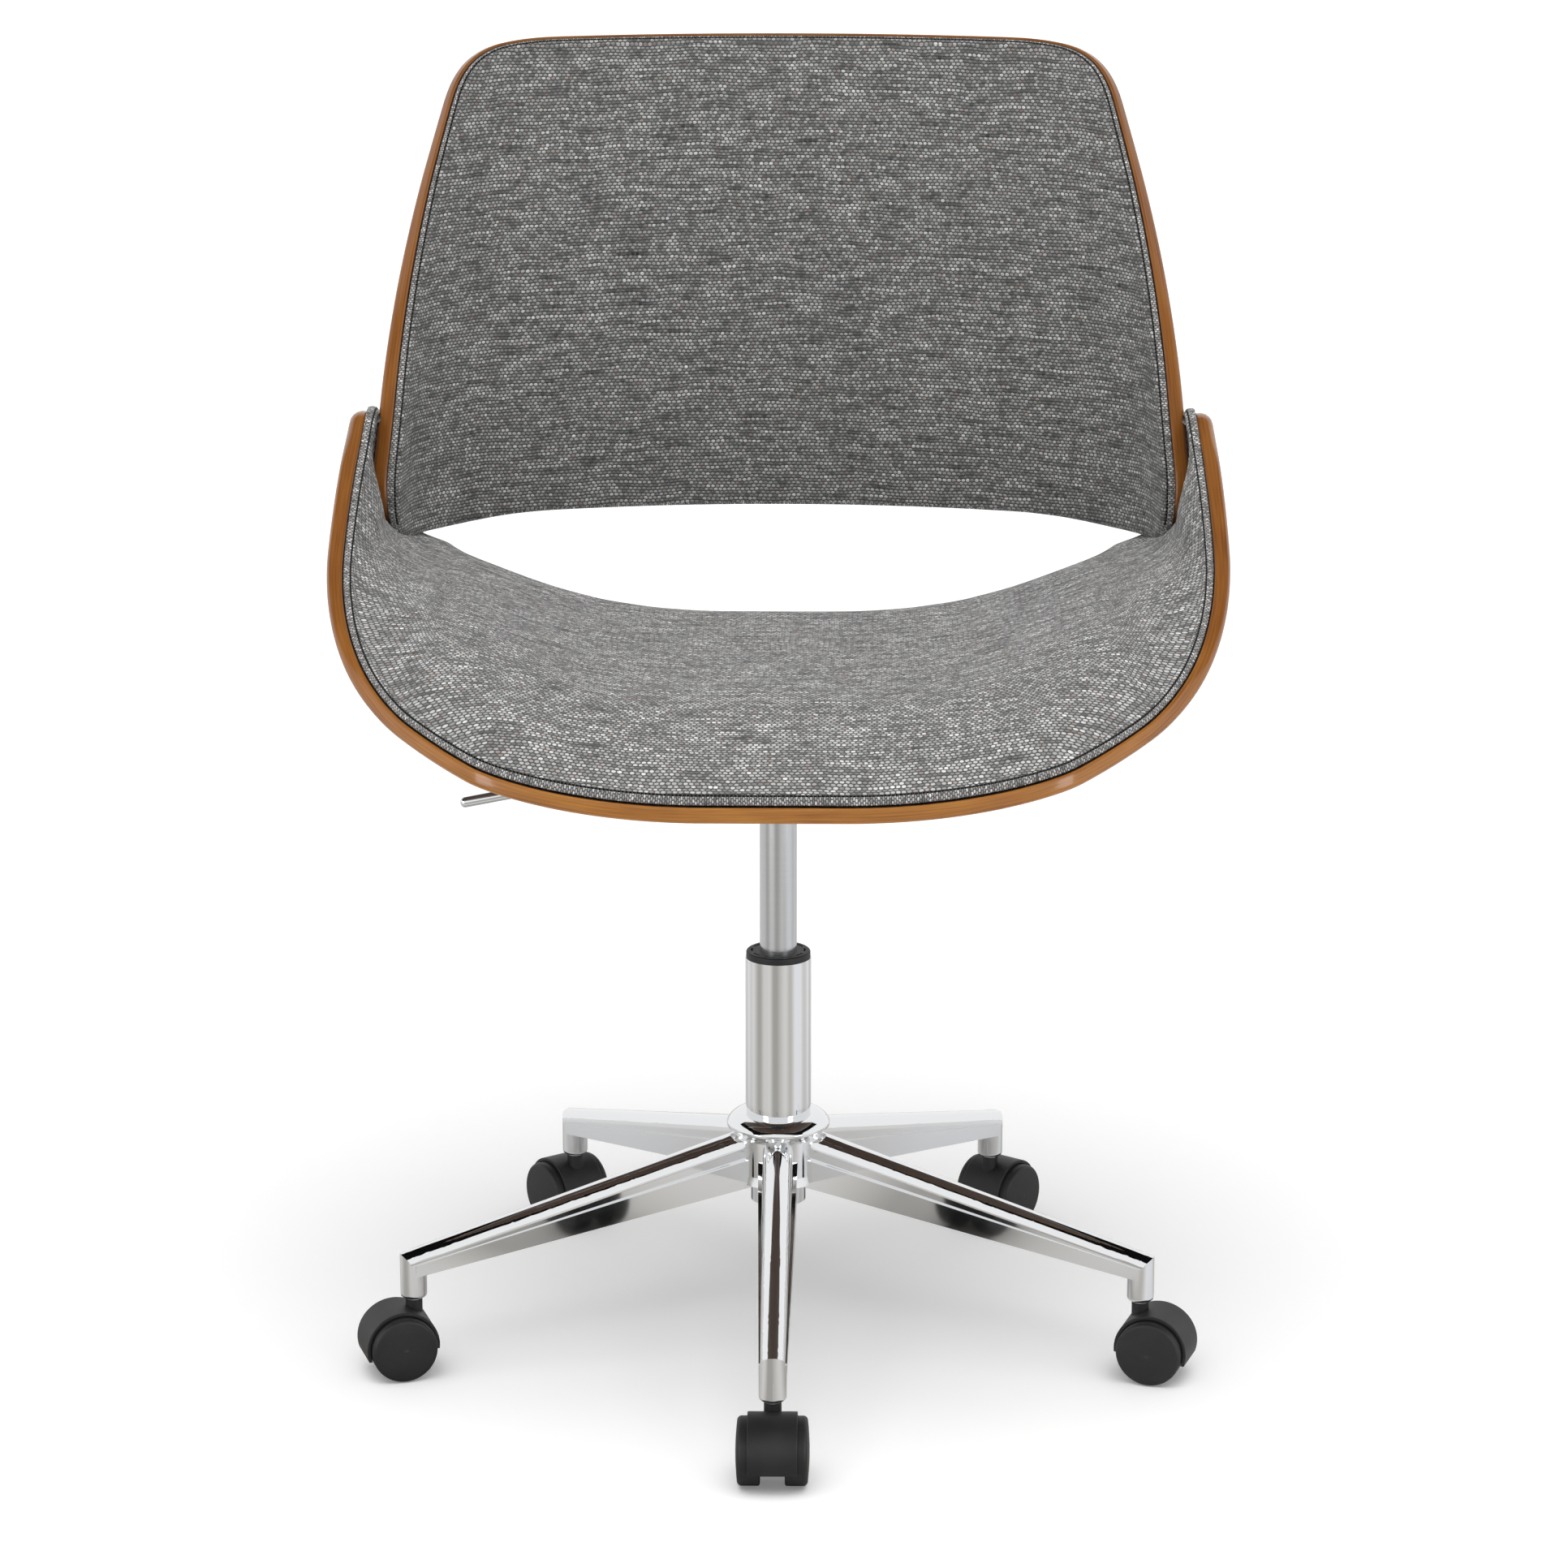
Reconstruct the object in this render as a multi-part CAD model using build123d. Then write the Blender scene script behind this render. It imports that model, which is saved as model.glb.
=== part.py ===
from build123d import *

import math
import os

# Swivel office chair, in millimetres. The floor is at Z = 0, the gas lift stands on the Z axis,
# and the sitter faces -Y.

# Fits
RUNNING_CLEARANCE = 0.05
FREE_CLEARANCE = 0.6
SOFT_CLEARANCE = 1.0

# Casters
ARM_COUNT = 5
CASTER_CIRCLE = 288.0
CASTER_HEIGHT = 59.0
CASTER_TRAIL = 12.5
WHEEL_RADIUS = 25.0
WHEEL_GAP = 18.0
TREAD_WIDTH = 13.0
TREAD_ROUND = 3.4
WHEEL_DOME = 1.2
WHEEL_CHAMFER = 1.0
CAP_WALL = 3.0
AXLE_RADIUS = 3.0
HOOD_WALL = 2.4
HOOD_WIDTH = 36.0
HOOD_EDGE_ROUND = 0.8
HOOD_STEM_DROP = 6.0
HOOD_TRAIL_DROP = 18.0
NECK_RADIUS = 6.4
STEM_RADIUS = 5.0
STEM_LENGTH = 30.0
STEM_DEPTH = 16.0
STEM_CHAMFER = 0.6
SLEEVE_WALL = 1.2
SLEEVE_LIP = 1.0

# Star base
SOCKET_RADIUS = 10.1
SOCKET_HEIGHT = 38.0
SOCKET_ROUND = 3.0
TIP_FLANGE = 9.5
TIP_ARCH_WIDTH = 18.8
TIP_RIB_RISE = 1.0
ROOT_WIDTH = 30.0
ROOT_HEIGHT = 42.0
ROOT_FLANGE = 22.0
ROOT_ARCH_WIDTH = 23.0
ARM_WALL = 3.0
CHANNEL_REACH = 262.0
HUB_RISE = 66.0
HUB_HEIGHT = 52.5
HUB_RADIUS = 32.0
HUB_FLARE = 1.5
RIM_RADIUS = 39.5
RIM_THICKNESS = 2.5
RIM_DROP = 10.5
RIM_CROWN = 2.0
RIM_HOLLOW = -1.5
HUB_MOUTH_WALL = 2.5

# Gas lift
COLUMN_RADIUS = 25.0
COLUMN_LENGTH = 194.0
COLUMN_TAIL = 18.0
COLUMN_WALL = 2.5
COLUMN_TAIL_RADIUS = 21.0
TAPER_START = 7.0
FOOT_THICKNESS = 4.0
BUSH_COLLAR = 5.0
BUSH_COLLAR_RADIUS = 24.4
BUSH_LENGTH = 61.0
BUSH_ROUND = 1.5
BUSH_SLOTS = 10
SLOT_CIRCLE = 20.0
SLOT_LENGTH = 8.0
SLOT_WIDTH = 1.4
SLOT_DEPTH = 1.2
TUBE_RADIUS = 14.0
TUBE_WALL = 2.0
TUBE_LENGTH = 221.0
TUBE_OVERLAP = 72.0
TUBE_TAPER = 0.8
RACE_THICKNESS = 2.0
RACE_RADIUS = 11.0
BALL_RADIUS = 2.0
BALL_COUNT = 10
ROD_RADIUS = 5.0
SPIGOT_RADIUS = 4.0
SPIGOT_LENGTH = 6.0
CLIP_THICKNESS = 2.0
CLIP_RADIUS = 7.0
BUFFER_RADIUS = 9.0
BUFFER_HEIGHT = 8.0
GLAND_LENGTH = 16.0
HEAD_LENGTH = 10.0
VALVE_LENGTH = 10.0
PIN_RADIUS = 3.0
PIN_PROUD = 6.0
PIN_LENGTH = 26.0
PIN_ROUND = 2.0

# Seat plate and lever
PLATE_WIDTH = 100.0
PLATE_DEPTH = 200.0
PLATE_THICKNESS = 3.0
PLATE_BOX_WIDTH = 80.0
PLATE_BOX_DEPTH = 90.0
PLATE_DROP = 36.0
PLATE_ROUND = 12.0
COLLAR_WALL = 3.5
COLLAR_HEIGHT = 29.0
COLLAR_DROP = 3.0
PLATE_RISE = 22.0
BOLT_RADIUS = 3.0
BOLT_HEAD_RADIUS = 5.5
BOLT_HEAD_HEIGHT = 4.0
BOLT_INSET = 12.0
BOLT_EDGE = 15.0
NUT_FLANGE_RADIUS = 9.0
NUT_FLANGE = 1.5
NUT_BARREL_RADIUS = 4.2
NUT_BARREL = 8.0
LEVER_PIVOT = 50.0
LEVER_REACH = 193.0
LEVER_SLOPE = 11.3
LEVER_RADIUS = 4.0
LEVER_HUB_RADIUS = 6.5
LEVER_HUB_WIDTH = 12.0
BLADE_THICKNESS = 4.0
BLADE_WIDTH = 10.0
BLADE_OVERRUN = 6.0
BLADE_GAP = 0.3
PIVOT_RADIUS = 2.5
EAR_THICKNESS = 3.0
EAR_DROP = 9.0

# Plywood and seat shell
PLY = 12.0
SEAT_FLAT = 50.0
SEAT_FLOOR_RADIUS = 585.0
SEAT_FLOOR_TURN = 22.0
SEAT_CORNER_RADIUS = 106.0
WING_RADIUS = 480.0
WING_TURN = 13.0
SEAT_FRONT = 238.0
SEAT_REAR = 206.0
KNEE_RISE = 18.0
KNEE_ROUND = 30.0
BEND_Y = -145.0
BEND_RISE = 51.0
BEND_ROUND = 250.0
TIP_Y = 138.0
TIP_RISE = 225.0
TIP_ROUND = 22.0
WING_REAR_Y = 190.0
WING_REAR_RISE = 216.0
WING_REAR_ROUND = 38.0
REAR_STRAIGHT = 128.0
REAR_ROUND = 60.0

# Back shell
BACK_Y = 272.0
BACK_RISE = 122.0
BACK_HEIGHT = 362.8
RECLINE = 10.0
BACK_RADIUS = 720.0
BACK_TURN = 18.0
SHOULDER_RADIUS = 160.0
SHOULDER_TURN = 24.0
FLAP_RADIUS = 95.0
FLAP_TURN = 36.0
FLAP_STRAIGHT = 60.0
FLAP_REACH = 165.0
BACK_EDGE_RUN = 180.8
BACK_EDGE_BOW = 13.0
FLAP_ROUND = 34.0
BACK_TOP_DROP = 45.0
BACK_TOP_BACK = 25.0

# Fastening of the back's flaps to the seat's wings
FLAP_BOLTS = ((166.0, 173.0), (168.0, 206.0))
FLAP_BOLT_HEAD_RADIUS = 8.0
FLAP_BOLT_HEAD = 2.5
FLAP_BOLT_SINK = 2.5
FLAP_BOLT_REACH = 8.0
SPACER_RADIUS = 9.0

# Pads
PAD_SINK = 1.0
PAD_INSET = 3.0
PAD_EDGE = 6.5
SEAT_PAD = 40.0
SEAT_PAD_CORNER = 50.0
SEAT_PAD_REAR_DROP = 1.5
SEAT_PAD_WING = 20.0
SEAT_PAD_TIP = 8.0
SEAT_PAD_ROUND = 14.0
SEAT_PAD_CREST = -100.0
SEAT_PAD_TOP = 6.0
SEAT_PAD_STATIONS = 8
BACK_PAD = 27.0
BACK_PAD_EDGE = 9.0
BACK_PAD_FLAP = 9.0
BACK_PAD_ROUND = 4.0
BACK_PAD_STATIONS = 12
BACK_PAD_SEARCH = 20

# Stretches of the pads, as shares of the way from the middle to the end, over which a size changes
CORNER_GAINS = (0.28, 0.55)
WING_THINS = (0.58, 0.82)
TIP_THINS = (0.78, 1.0)
CREST_CENTRES = (0.3, 0.7)
REAR_EDGE_THINS = (0.6, 0.9)
REAR_ROUND_TIGHTENS = (0.5, 0.8)
BACK_EDGE_THINS = (0.5, 0.9)
BACK_CROWN_THINS = (0.35, 0.95)

# Heights that follow from the sizes above
HUB_BOTTOM = CASTER_HEIGHT + HUB_RISE
HUB_TOP = HUB_BOTTOM + HUB_HEIGHT
COLUMN_BOTTOM = HUB_BOTTOM - COLUMN_TAIL
COLUMN_TOP = COLUMN_BOTTOM + COLUMN_LENGTH
TUBE_BOTTOM = COLUMN_TOP - TUBE_OVERLAP
TUBE_TOP = TUBE_BOTTOM + TUBE_LENGTH
PIN_TOP = TUBE_TOP + PIN_PROUD
SEAT_BOTTOM = TUBE_TOP + PLATE_RISE
SEAT_TOP = SEAT_BOTTOM + PLY
BACK_BOTTOM = SEAT_BOTTOM + BACK_RISE
BACK_TOP = BACK_BOTTOM + BACK_HEIGHT
LEVER_HEIGHT = PIN_TOP + BLADE_GAP + BLADE_THICKNESS / 2
FAR = 900.0
HALVINGS = 50

SEAT_LEGS = (
    (SEAT_FLAT, 0.0),
    (SEAT_FLOOR_RADIUS, SEAT_FLOOR_TURN),
    (SEAT_CORNER_RADIUS, 90.0 - SEAT_FLOOR_TURN),
    (WING_RADIUS, WING_TURN),
)
BACK_LEGS = (
    (BACK_RADIUS, BACK_TURN),
    (SHOULDER_RADIUS, SHOULDER_TURN),
    (FLAP_RADIUS, FLAP_TURN),
    (FLAP_STRAIGHT, 0.0),
)


def save(name, shape):
    export_step(shape, f"parts/{name}.step")


def post(radius, low, high):
    """Upright cylinder on the Z axis."""
    return Pos(0, 0, low) * Cylinder(radius, high - low, align=(Align.CENTER, Align.CENTER, Align.MIN))


def pipe(outer, inner, low, high):
    return post(outer, low, high) - post(inner, low - FREE_CLEARANCE, high + FREE_CLEARANCE)


def turned(*points):
    """Solid of revolution about Z from (radius, height) corners."""
    return revolve(Plane.XZ * make_face(Polyline(*points, close=True)), axis=Axis.Z)


def bowed(start, end, rise):
    """Arc between two points that stands off their chord, to its right, by a rise."""
    start, end = Vector(start), Vector(end)
    chord = end - start
    aside = Vector(chord.Y, -chord.X).normalized()
    return ThreePointArc(start, (start + end) / 2 + aside * rise, end)


def rod_x(radius, start, end, y, z):
    """Cylinder along X between two stations."""
    bar = Cylinder(radius, end - start, align=(Align.CENTER, Align.CENTER, Align.MIN))
    return Pos(start, y, z) * Rot(0, 90, 0) * bar


def rod_y(radius, length, x, z):
    """Cylinder along Y, centred on the XZ plane."""
    return Pos(x, 0, z) * Rot(90, 0, 0) * Cylinder(radius, length)


def joined(solids):
    """One fused shape from several."""
    first, *others = solids
    return first.fuse(*others)


def group(solids):
    """Separate solids kept together under one name."""
    return Compound(children=list(solids))


def round_turn(shape, count):
    return [Rot(0, 0, index * 360.0 / count) * shape for index in range(count)]


# A bent sheet is a line that starts level and bends to its left. Each leg of the line is
# (radius, turn in degrees), or (length, 0) where it runs straight.


def place(legs, inset, distance):
    """Point and heading at a distance along the line, moved to its left by the inset."""
    x, y, heading = 0.0, inset, 0.0
    for index, (size, turn) in enumerate(legs):
        angle = math.radians(heading)
        radius = size - inset
        length = size if turn == 0 else radius * math.radians(turn)
        step = distance if index == len(legs) - 1 else min(distance, length)
        if turn == 0:
            x += step * math.cos(angle)
            y += step * math.sin(angle)
        else:
            swing = step / radius
            x += radius * (math.sin(angle + swing) - math.sin(angle))
            y += radius * (math.cos(angle) - math.cos(angle + swing))
            heading += math.degrees(swing)
        distance -= step
        if distance <= 0:
            break
    return x, y, heading


def leg_lengths(legs, inset):
    return [size if turn == 0 else (size - inset) * math.radians(turn) for size, turn in legs]


def bent_line(legs, inset):
    """Edges of the line, one for each leg."""
    edges = []
    start = 0.0
    for (size, turn), length in zip(legs, leg_lengths(legs, inset)):
        ends = [place(legs, inset, start + share * length)[:2] for share in (0.0, 0.5, 1.0)]
        edges.append(Line(ends[0], ends[2]) if turn == 0 else ThreePointArc(*ends))
        start += length
    return edges


def halfway(low, high, is_below):
    """Value between two limits at which the test stops being true."""
    for _ in range(HALVINGS):
        middle = (low + high) / 2
        low, high = (middle, high) if is_below(middle) else (low, middle)
    return low


def distance_at(legs, inset, rise):
    """Distance along the line at which it has risen this much."""
    whole = sum(leg_lengths(legs, inset))
    return halfway(0.0, whole, lambda distance: place(legs, inset, distance)[1] < rise)


def sheet_section(legs, outer, inner):
    """Face of the right half of a bent sheet between two insets."""
    skin = bent_line(legs, outer)
    lining = bent_line(legs, inner)
    ends = [Line(skin[0] @ 0, lining[0] @ 0), Line(skin[-1] @ 1, lining[-1] @ 1)]
    return make_face(skin + lining + ends)


def both_halves(half):
    return half + mirror(half, about=Plane.YZ)


def bent_sheet(lines, run, trim, inward):
    """Plywood whose outer face is the lines carried along a run, with edges square to that face."""
    solids = []
    for line in lines:
        face = Face.extrude(line, run) & trim
        solids += [thicken(piece, PLY, normal_override=inward) for piece in face.faces()]
    return both_halves(joined(solids))


# Casters, drawn with the stem on the Z axis and the wheels trailing towards +X


def caster_hood():
    inner = WHEEL_RADIUS + FREE_CLEARANCE
    outer = inner + HOOD_WALL
    web = WHEEL_GAP - 2 * FREE_CLEARANCE
    shell = rod_y(outer, HOOD_WIDTH, CASTER_TRAIL, WHEEL_RADIUS)
    shell = fillet(shell.edges().filter_by(GeomType.CIRCLE), HOOD_EDGE_ROUND)
    well = rod_y(inner, HOOD_WIDTH, CASTER_TRAIL, WHEEL_RADIUS)
    for side in (-1, 1):
        shell -= Pos(0, side * (web + HOOD_WIDTH) / 2, 0) * well
    stem_side = math.radians(HOOD_STEM_DROP)
    trail_side = math.radians(HOOD_TRAIL_DROP)
    left = (CASTER_TRAIL - outer * math.cos(stem_side), WHEEL_RADIUS - outer * math.sin(stem_side))
    right = (CASTER_TRAIL + outer * math.cos(trail_side), WHEEL_RADIUS - outer * math.sin(trail_side))
    slope = (right[1] - left[1]) / (right[0] - left[0])
    below = Polyline(
        (left[0] - outer, left[1] - slope * outer),
        (right[0] + outer, right[1] + slope * outer),
        (right[0] + outer, -outer),
        (left[0] - outer, -outer),
        close=True,
    )
    shell -= extrude(Plane.XZ * make_face(below), HOOD_WIDTH, both=True)
    neck_top = CASTER_HEIGHT - SLEEVE_LIP - FREE_CLEARANCE
    neck = post(NECK_RADIUS, WHEEL_RADIUS + AXLE_RADIUS + HOOD_WALL, neck_top)
    shell += neck
    shell -= post(STEM_RADIUS, CASTER_HEIGHT - STEM_DEPTH, CASTER_HEIGHT)
    shell -= rod_y(AXLE_RADIUS, HOOD_WIDTH, CASTER_TRAIL, WHEEL_RADIUS)
    return shell


def caster_stem():
    return chamfer(
        post(STEM_RADIUS, CASTER_HEIGHT - STEM_DEPTH, CASTER_HEIGHT + STEM_LENGTH).edges(),
        STEM_CHAMFER,
    )


def wheel_outline():
    """Half section of a wheel, (radius, distance from the caster's middle)."""
    inner = WHEEL_GAP / 2
    outer = inner + TREAD_WIDTH
    shoulder = WHEEL_RADIUS - TREAD_ROUND
    face = outer + TREAD_ROUND
    bore = AXLE_RADIUS + RUNNING_CLEARANCE
    blind = face + WHEEL_DOME - CAP_WALL
    diagonal = TREAD_ROUND * math.sqrt(0.5)
    dome_radius = (shoulder**2 + WHEEL_DOME**2) / (2 * WHEEL_DOME)
    half_angle = math.asin(shoulder / dome_radius) / 2
    dome_middle = face + WHEEL_DOME - dome_radius * (1 - math.cos(half_angle))
    return [
        Polyline(
            (0, face + WHEEL_DOME),
            (0, blind),
            (bore, blind),
            (bore, inner),
            (WHEEL_RADIUS - WHEEL_CHAMFER, inner),
            (WHEEL_RADIUS, inner + WHEEL_CHAMFER),
            (WHEEL_RADIUS, outer),
        ),
        ThreePointArc((WHEEL_RADIUS, outer), (shoulder + diagonal, outer + diagonal), (shoulder, face)),
        ThreePointArc(
            (shoulder, face),
            (dome_radius * math.sin(half_angle), dome_middle),
            (0, face + WHEEL_DOME),
        ),
    ]


def caster_wheel(side):
    wheel = revolve(Plane.XZ * make_face(wheel_outline()), axis=Axis.Z)
    return Pos(CASTER_TRAIL, 0, WHEEL_RADIUS) * Rot(-90 * side, 0, 0) * wheel


def caster_axle():
    blind = WHEEL_GAP / 2 + TREAD_WIDTH + TREAD_ROUND + WHEEL_DOME - CAP_WALL
    return rod_y(AXLE_RADIUS, 2 * (blind - FREE_CLEARANCE), CASTER_TRAIL, WHEEL_RADIUS)


def caster_place(index):
    """Stem position; each caster trails away from the column."""
    heading = -90.0 + index * 360.0 / ARM_COUNT
    return Rot(0, 0, heading) * Pos(CASTER_CIRCLE, 0, 0)


# Star base


def arm_section(reach, bottom, flange_width, flange, arch_width, height):
    """Face across an arm: a flange with a half-round rib on top."""
    half = flange_width / 2
    rib = arch_width / 2
    spring = height - rib
    diagonal = rib * math.sqrt(0.5)
    lines = [
        Polyline((-rib, spring), (-rib, flange), (-half, flange), (-half, 0), (half, 0), (half, flange),
                 (rib, flange), (rib, spring)),
        ThreePointArc((rib, spring), (diagonal, spring + diagonal), (0, height)),
        ThreePointArc((0, height), (-diagonal, spring + diagonal), (-rib, spring)),
    ]
    return Pos(reach, 0, bottom) * (Plane.YZ * make_face(lines))


def arm_rise(reach, at_root, at_tip):
    """Height on the straight line from the hub to the socket."""
    share = (reach - HUB_RADIUS) / (CASTER_CIRCLE - HUB_RADIUS)
    return at_root + share * (at_tip - at_root)


def star_arm():
    tip_top = CASTER_HEIGHT + SOCKET_HEIGHT
    tip_height = TIP_FLANGE + TIP_ARCH_WIDTH / 2 + TIP_RIB_RISE
    tip_bottom = tip_top - tip_height
    root_bottom = HUB_BOTTOM - ARM_WALL
    end = CASTER_CIRCLE + 2 * SOCKET_RADIUS

    def section(reach):
        bottom = arm_rise(reach, root_bottom, tip_bottom)
        return arm_section(
            reach,
            bottom,
            arm_rise(reach, ROOT_WIDTH, 2 * SOCKET_RADIUS),
            arm_rise(reach, ROOT_FLANGE, TIP_FLANGE),
            arm_rise(reach, ROOT_ARCH_WIDTH, TIP_ARCH_WIDTH),
            arm_rise(reach, ROOT_HEIGHT, tip_height),
        )

    def channel(reach):
        width = arm_rise(reach, ROOT_WIDTH, 2 * SOCKET_RADIUS) - 2 * ARM_WALL
        flange = arm_rise(reach, ROOT_FLANGE, TIP_FLANGE)
        bottom = arm_rise(reach, root_bottom, tip_bottom)
        block = Pos(0, (flange - ARM_WALL) / 2) * Rectangle(width, flange + ARM_WALL)
        return Pos(reach, 0, bottom) * (Plane.YZ * block)

    beam = loft([section(HUB_RADIUS / 2), section(end)], ruled=True)
    run = Pos(CASTER_CIRCLE / 2, 0, 0) * Box(CASTER_CIRCLE, ROOT_WIDTH, FAR)
    beam &= run + Pos(CASTER_CIRCLE, 0, 0) * Cylinder(SOCKET_RADIUS, FAR)
    beam -= loft([channel(RIM_RADIUS + ARM_WALL), channel(CHANNEL_REACH)], ruled=True)
    foot = post(SOCKET_RADIUS, CASTER_HEIGHT, tip_bottom + TIP_FLANGE)
    foot = fillet(foot.edges().group_by(Axis.Z)[0], SOCKET_ROUND)
    return beam + Pos(CASTER_CIRCLE, 0, 0) * foot


def column_skin(extra):
    """Outer corners of the column below its straight part, (radius, height)."""
    return [
        (COLUMN_TAIL_RADIUS + extra, COLUMN_BOTTOM),
        (COLUMN_TAIL_RADIUS + extra, HUB_BOTTOM + TAPER_START),
        (COLUMN_RADIUS + extra, HUB_TOP + TAPER_START),
        (COLUMN_RADIUS + extra, COLUMN_TOP),
    ]


def star_base():
    rim = HUB_TOP - RIM_DROP
    neck = (HUB_RADIUS, rim - TAPER_START)
    lip_low = (RIM_RADIUS, rim)
    lip_high = (RIM_RADIUS, rim + RIM_THICKNESS)
    mouth = (COLUMN_RADIUS + HUB_MOUTH_WALL, HUB_TOP)
    low = (HUB_RADIUS + HUB_FLARE, HUB_BOTTOM)
    outline = [
        Polyline(mouth, (0, HUB_TOP), (0, HUB_BOTTOM), low, (HUB_RADIUS, HUB_BOTTOM + TAPER_START), neck),
        bowed(neck, lip_low, RIM_HOLLOW),
        Line(lip_low, lip_high),
        bowed(lip_high, mouth, RIM_CROWN),
    ]
    bell = revolve(Plane.XZ * make_face(outline), Axis.Z)
    rim_edges = bell.edges().filter_by(GeomType.CIRCLE).group_by(SortBy.RADIUS)[-1]
    bell = fillet(rim_edges, RIM_THICKNESS / 2 - RUNNING_CLEARANCE)
    arm = Rot(0, 0, -90) * star_arm()
    star = joined([bell] + round_turn(arm, ARM_COUNT))
    bore = SLEEVE_WALL + STEM_RADIUS + RUNNING_CLEARANCE
    for index in range(ARM_COUNT):
        star -= caster_place(index) * post(bore, 0, CASTER_HEIGHT + STEM_LENGTH + FREE_CLEARANCE)
    return star - turned((0, COLUMN_BOTTOM), *column_skin(0.0), (0, COLUMN_TOP))


def caster_sleeve():
    inner = STEM_RADIUS + RUNNING_CLEARANCE
    return pipe(inner + SLEEVE_WALL, inner, CASTER_HEIGHT - SLEEVE_LIP, CASTER_HEIGHT + STEM_LENGTH)


# Gas lift

COLUMN_BORE = COLUMN_RADIUS - COLUMN_WALL
TAIL_BORE = COLUMN_TAIL_RADIUS - COLUMN_WALL
FOOT_TOP = COLUMN_BOTTOM + FOOT_THICKNESS
BALLS_LOW = FOOT_TOP + RACE_THICKNESS
BALLS_HIGH = BALLS_LOW + 2 * BALL_RADIUS + RUNNING_CLEARANCE
ROD_LOW = BALLS_HIGH + RACE_THICKNESS
HEAD_LOW = TUBE_BOTTOM + GLAND_LENGTH + 2 * FREE_CLEARANCE
TUBE_BORE = TUBE_RADIUS - TUBE_WALL


def outer_column():
    lining = [(radius, height) for radius, height in reversed(column_skin(-COLUMN_WALL))]
    return turned(*column_skin(0.0), *lining)


def column_bush():
    top = COLUMN_TOP + BUSH_COLLAR
    collar = fillet(
        post(BUSH_COLLAR_RADIUS, COLUMN_TOP, top).edges().group_by(Axis.Z)[-1],
        BUSH_ROUND,
    )
    bush = collar + post(COLUMN_BORE, COLUMN_TOP - BUSH_LENGTH, COLUMN_TOP)
    slot = Pos(SLOT_CIRCLE, 0, top) * Box(SLOT_WIDTH, SLOT_LENGTH, 2 * SLOT_DEPTH)
    for cut in round_turn(slot, BUSH_SLOTS):
        bush -= cut
    return bush - post(TUBE_RADIUS + RUNNING_CLEARANCE, COLUMN_TOP - COLUMN_LENGTH, top + BUSH_COLLAR)


def bearing_balls():
    track = (RACE_RADIUS + SPIGOT_RADIUS) / 2 + FREE_CLEARANCE
    ball = Pos(track, 0, BALLS_LOW + BALL_RADIUS) * Sphere(BALL_RADIUS)
    return group(round_turn(ball, BALL_COUNT))


def pressure_tube():
    low = TUBE_TOP - COLLAR_DROP - COLLAR_HEIGHT
    narrow = TUBE_RADIUS - TUBE_TAPER
    return turned(
        (TUBE_BORE, TUBE_BOTTOM),
        (TUBE_RADIUS, TUBE_BOTTOM),
        (TUBE_RADIUS, low),
        (narrow, TUBE_TOP - COLLAR_DROP),
        (narrow, TUBE_TOP),
        (TUBE_BORE, TUBE_TOP),
    )


def release_pin():
    pin = post(PIN_RADIUS, PIN_TOP - PIN_LENGTH, PIN_TOP)
    return fillet(pin.edges().group_by(Axis.Z)[-1], PIN_ROUND)


# Seat plate and lever


def plate_bolt_places():
    x = PLATE_WIDTH / 2 - BOLT_INSET
    y = PLATE_DEPTH / 2 - BOLT_EDGE
    return [(side * x, end * y) for side in (-1, 1) for end in (-1, 1)]


def seat_plate():
    low = SEAT_BOTTOM - PLATE_THICKNESS
    outline = RectangleRounded(PLATE_WIDTH, PLATE_DEPTH, PLATE_ROUND)
    flange = Pos(0, 0, low) * extrude(outline, PLATE_THICKNESS)
    box_middle = SEAT_BOTTOM - PLATE_DROP / 2
    box = Pos(0, 0, box_middle) * Box(PLATE_BOX_WIDTH, PLATE_BOX_DEPTH, PLATE_DROP)
    hollow = Box(PLATE_BOX_WIDTH - 2 * PLATE_THICKNESS, PLATE_BOX_DEPTH - 2 * PLATE_THICKNESS, PLATE_DROP)
    box -= Pos(0, 0, box_middle + PLATE_THICKNESS) * hollow
    collar_top = TUBE_TOP - COLLAR_DROP
    collar_low = collar_top - COLLAR_HEIGHT
    collar = post(TUBE_RADIUS + COLLAR_WALL, collar_low, collar_top)
    plate = flange + box + collar
    ear_length = LEVER_PIVOT - PLATE_BOX_WIDTH / 2 + LEVER_HUB_RADIUS
    ear_height = SEAT_BOTTOM - LEVER_HEIGHT + EAR_DROP
    ear_y = LEVER_HUB_WIDTH / 2 + FREE_CLEARANCE + EAR_THICKNESS / 2
    for side in (-1, 1):
        ear = Box(ear_length, EAR_THICKNESS, ear_height)
        plate += Pos(
            -PLATE_BOX_WIDTH / 2 - ear_length / 2,
            side * ear_y,
            SEAT_BOTTOM - ear_height / 2,
        ) * ear
    narrow = TUBE_RADIUS - TUBE_TAPER
    plate -= turned((0, collar_low), (TUBE_RADIUS, collar_low), (narrow, collar_top), (0, collar_top))
    slot_height = 2 * (SEAT_BOTTOM - PLATE_THICKNESS - LEVER_HEIGHT)
    slot = Box(LEVER_PIVOT, LEVER_HUB_WIDTH + 2 * FREE_CLEARANCE, slot_height)
    plate -= Pos(-PLATE_BOX_WIDTH / 2, 0, LEVER_HEIGHT) * slot
    plate -= rod_y(PIVOT_RADIUS, PLATE_BOX_DEPTH, -LEVER_PIVOT, LEVER_HEIGHT)
    for x, y in plate_bolt_places():
        plate -= Pos(x, y, 0) * post(BOLT_RADIUS, low - FREE_CLEARANCE, SEAT_BOTTOM + FREE_CLEARANCE)
    return plate


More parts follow.
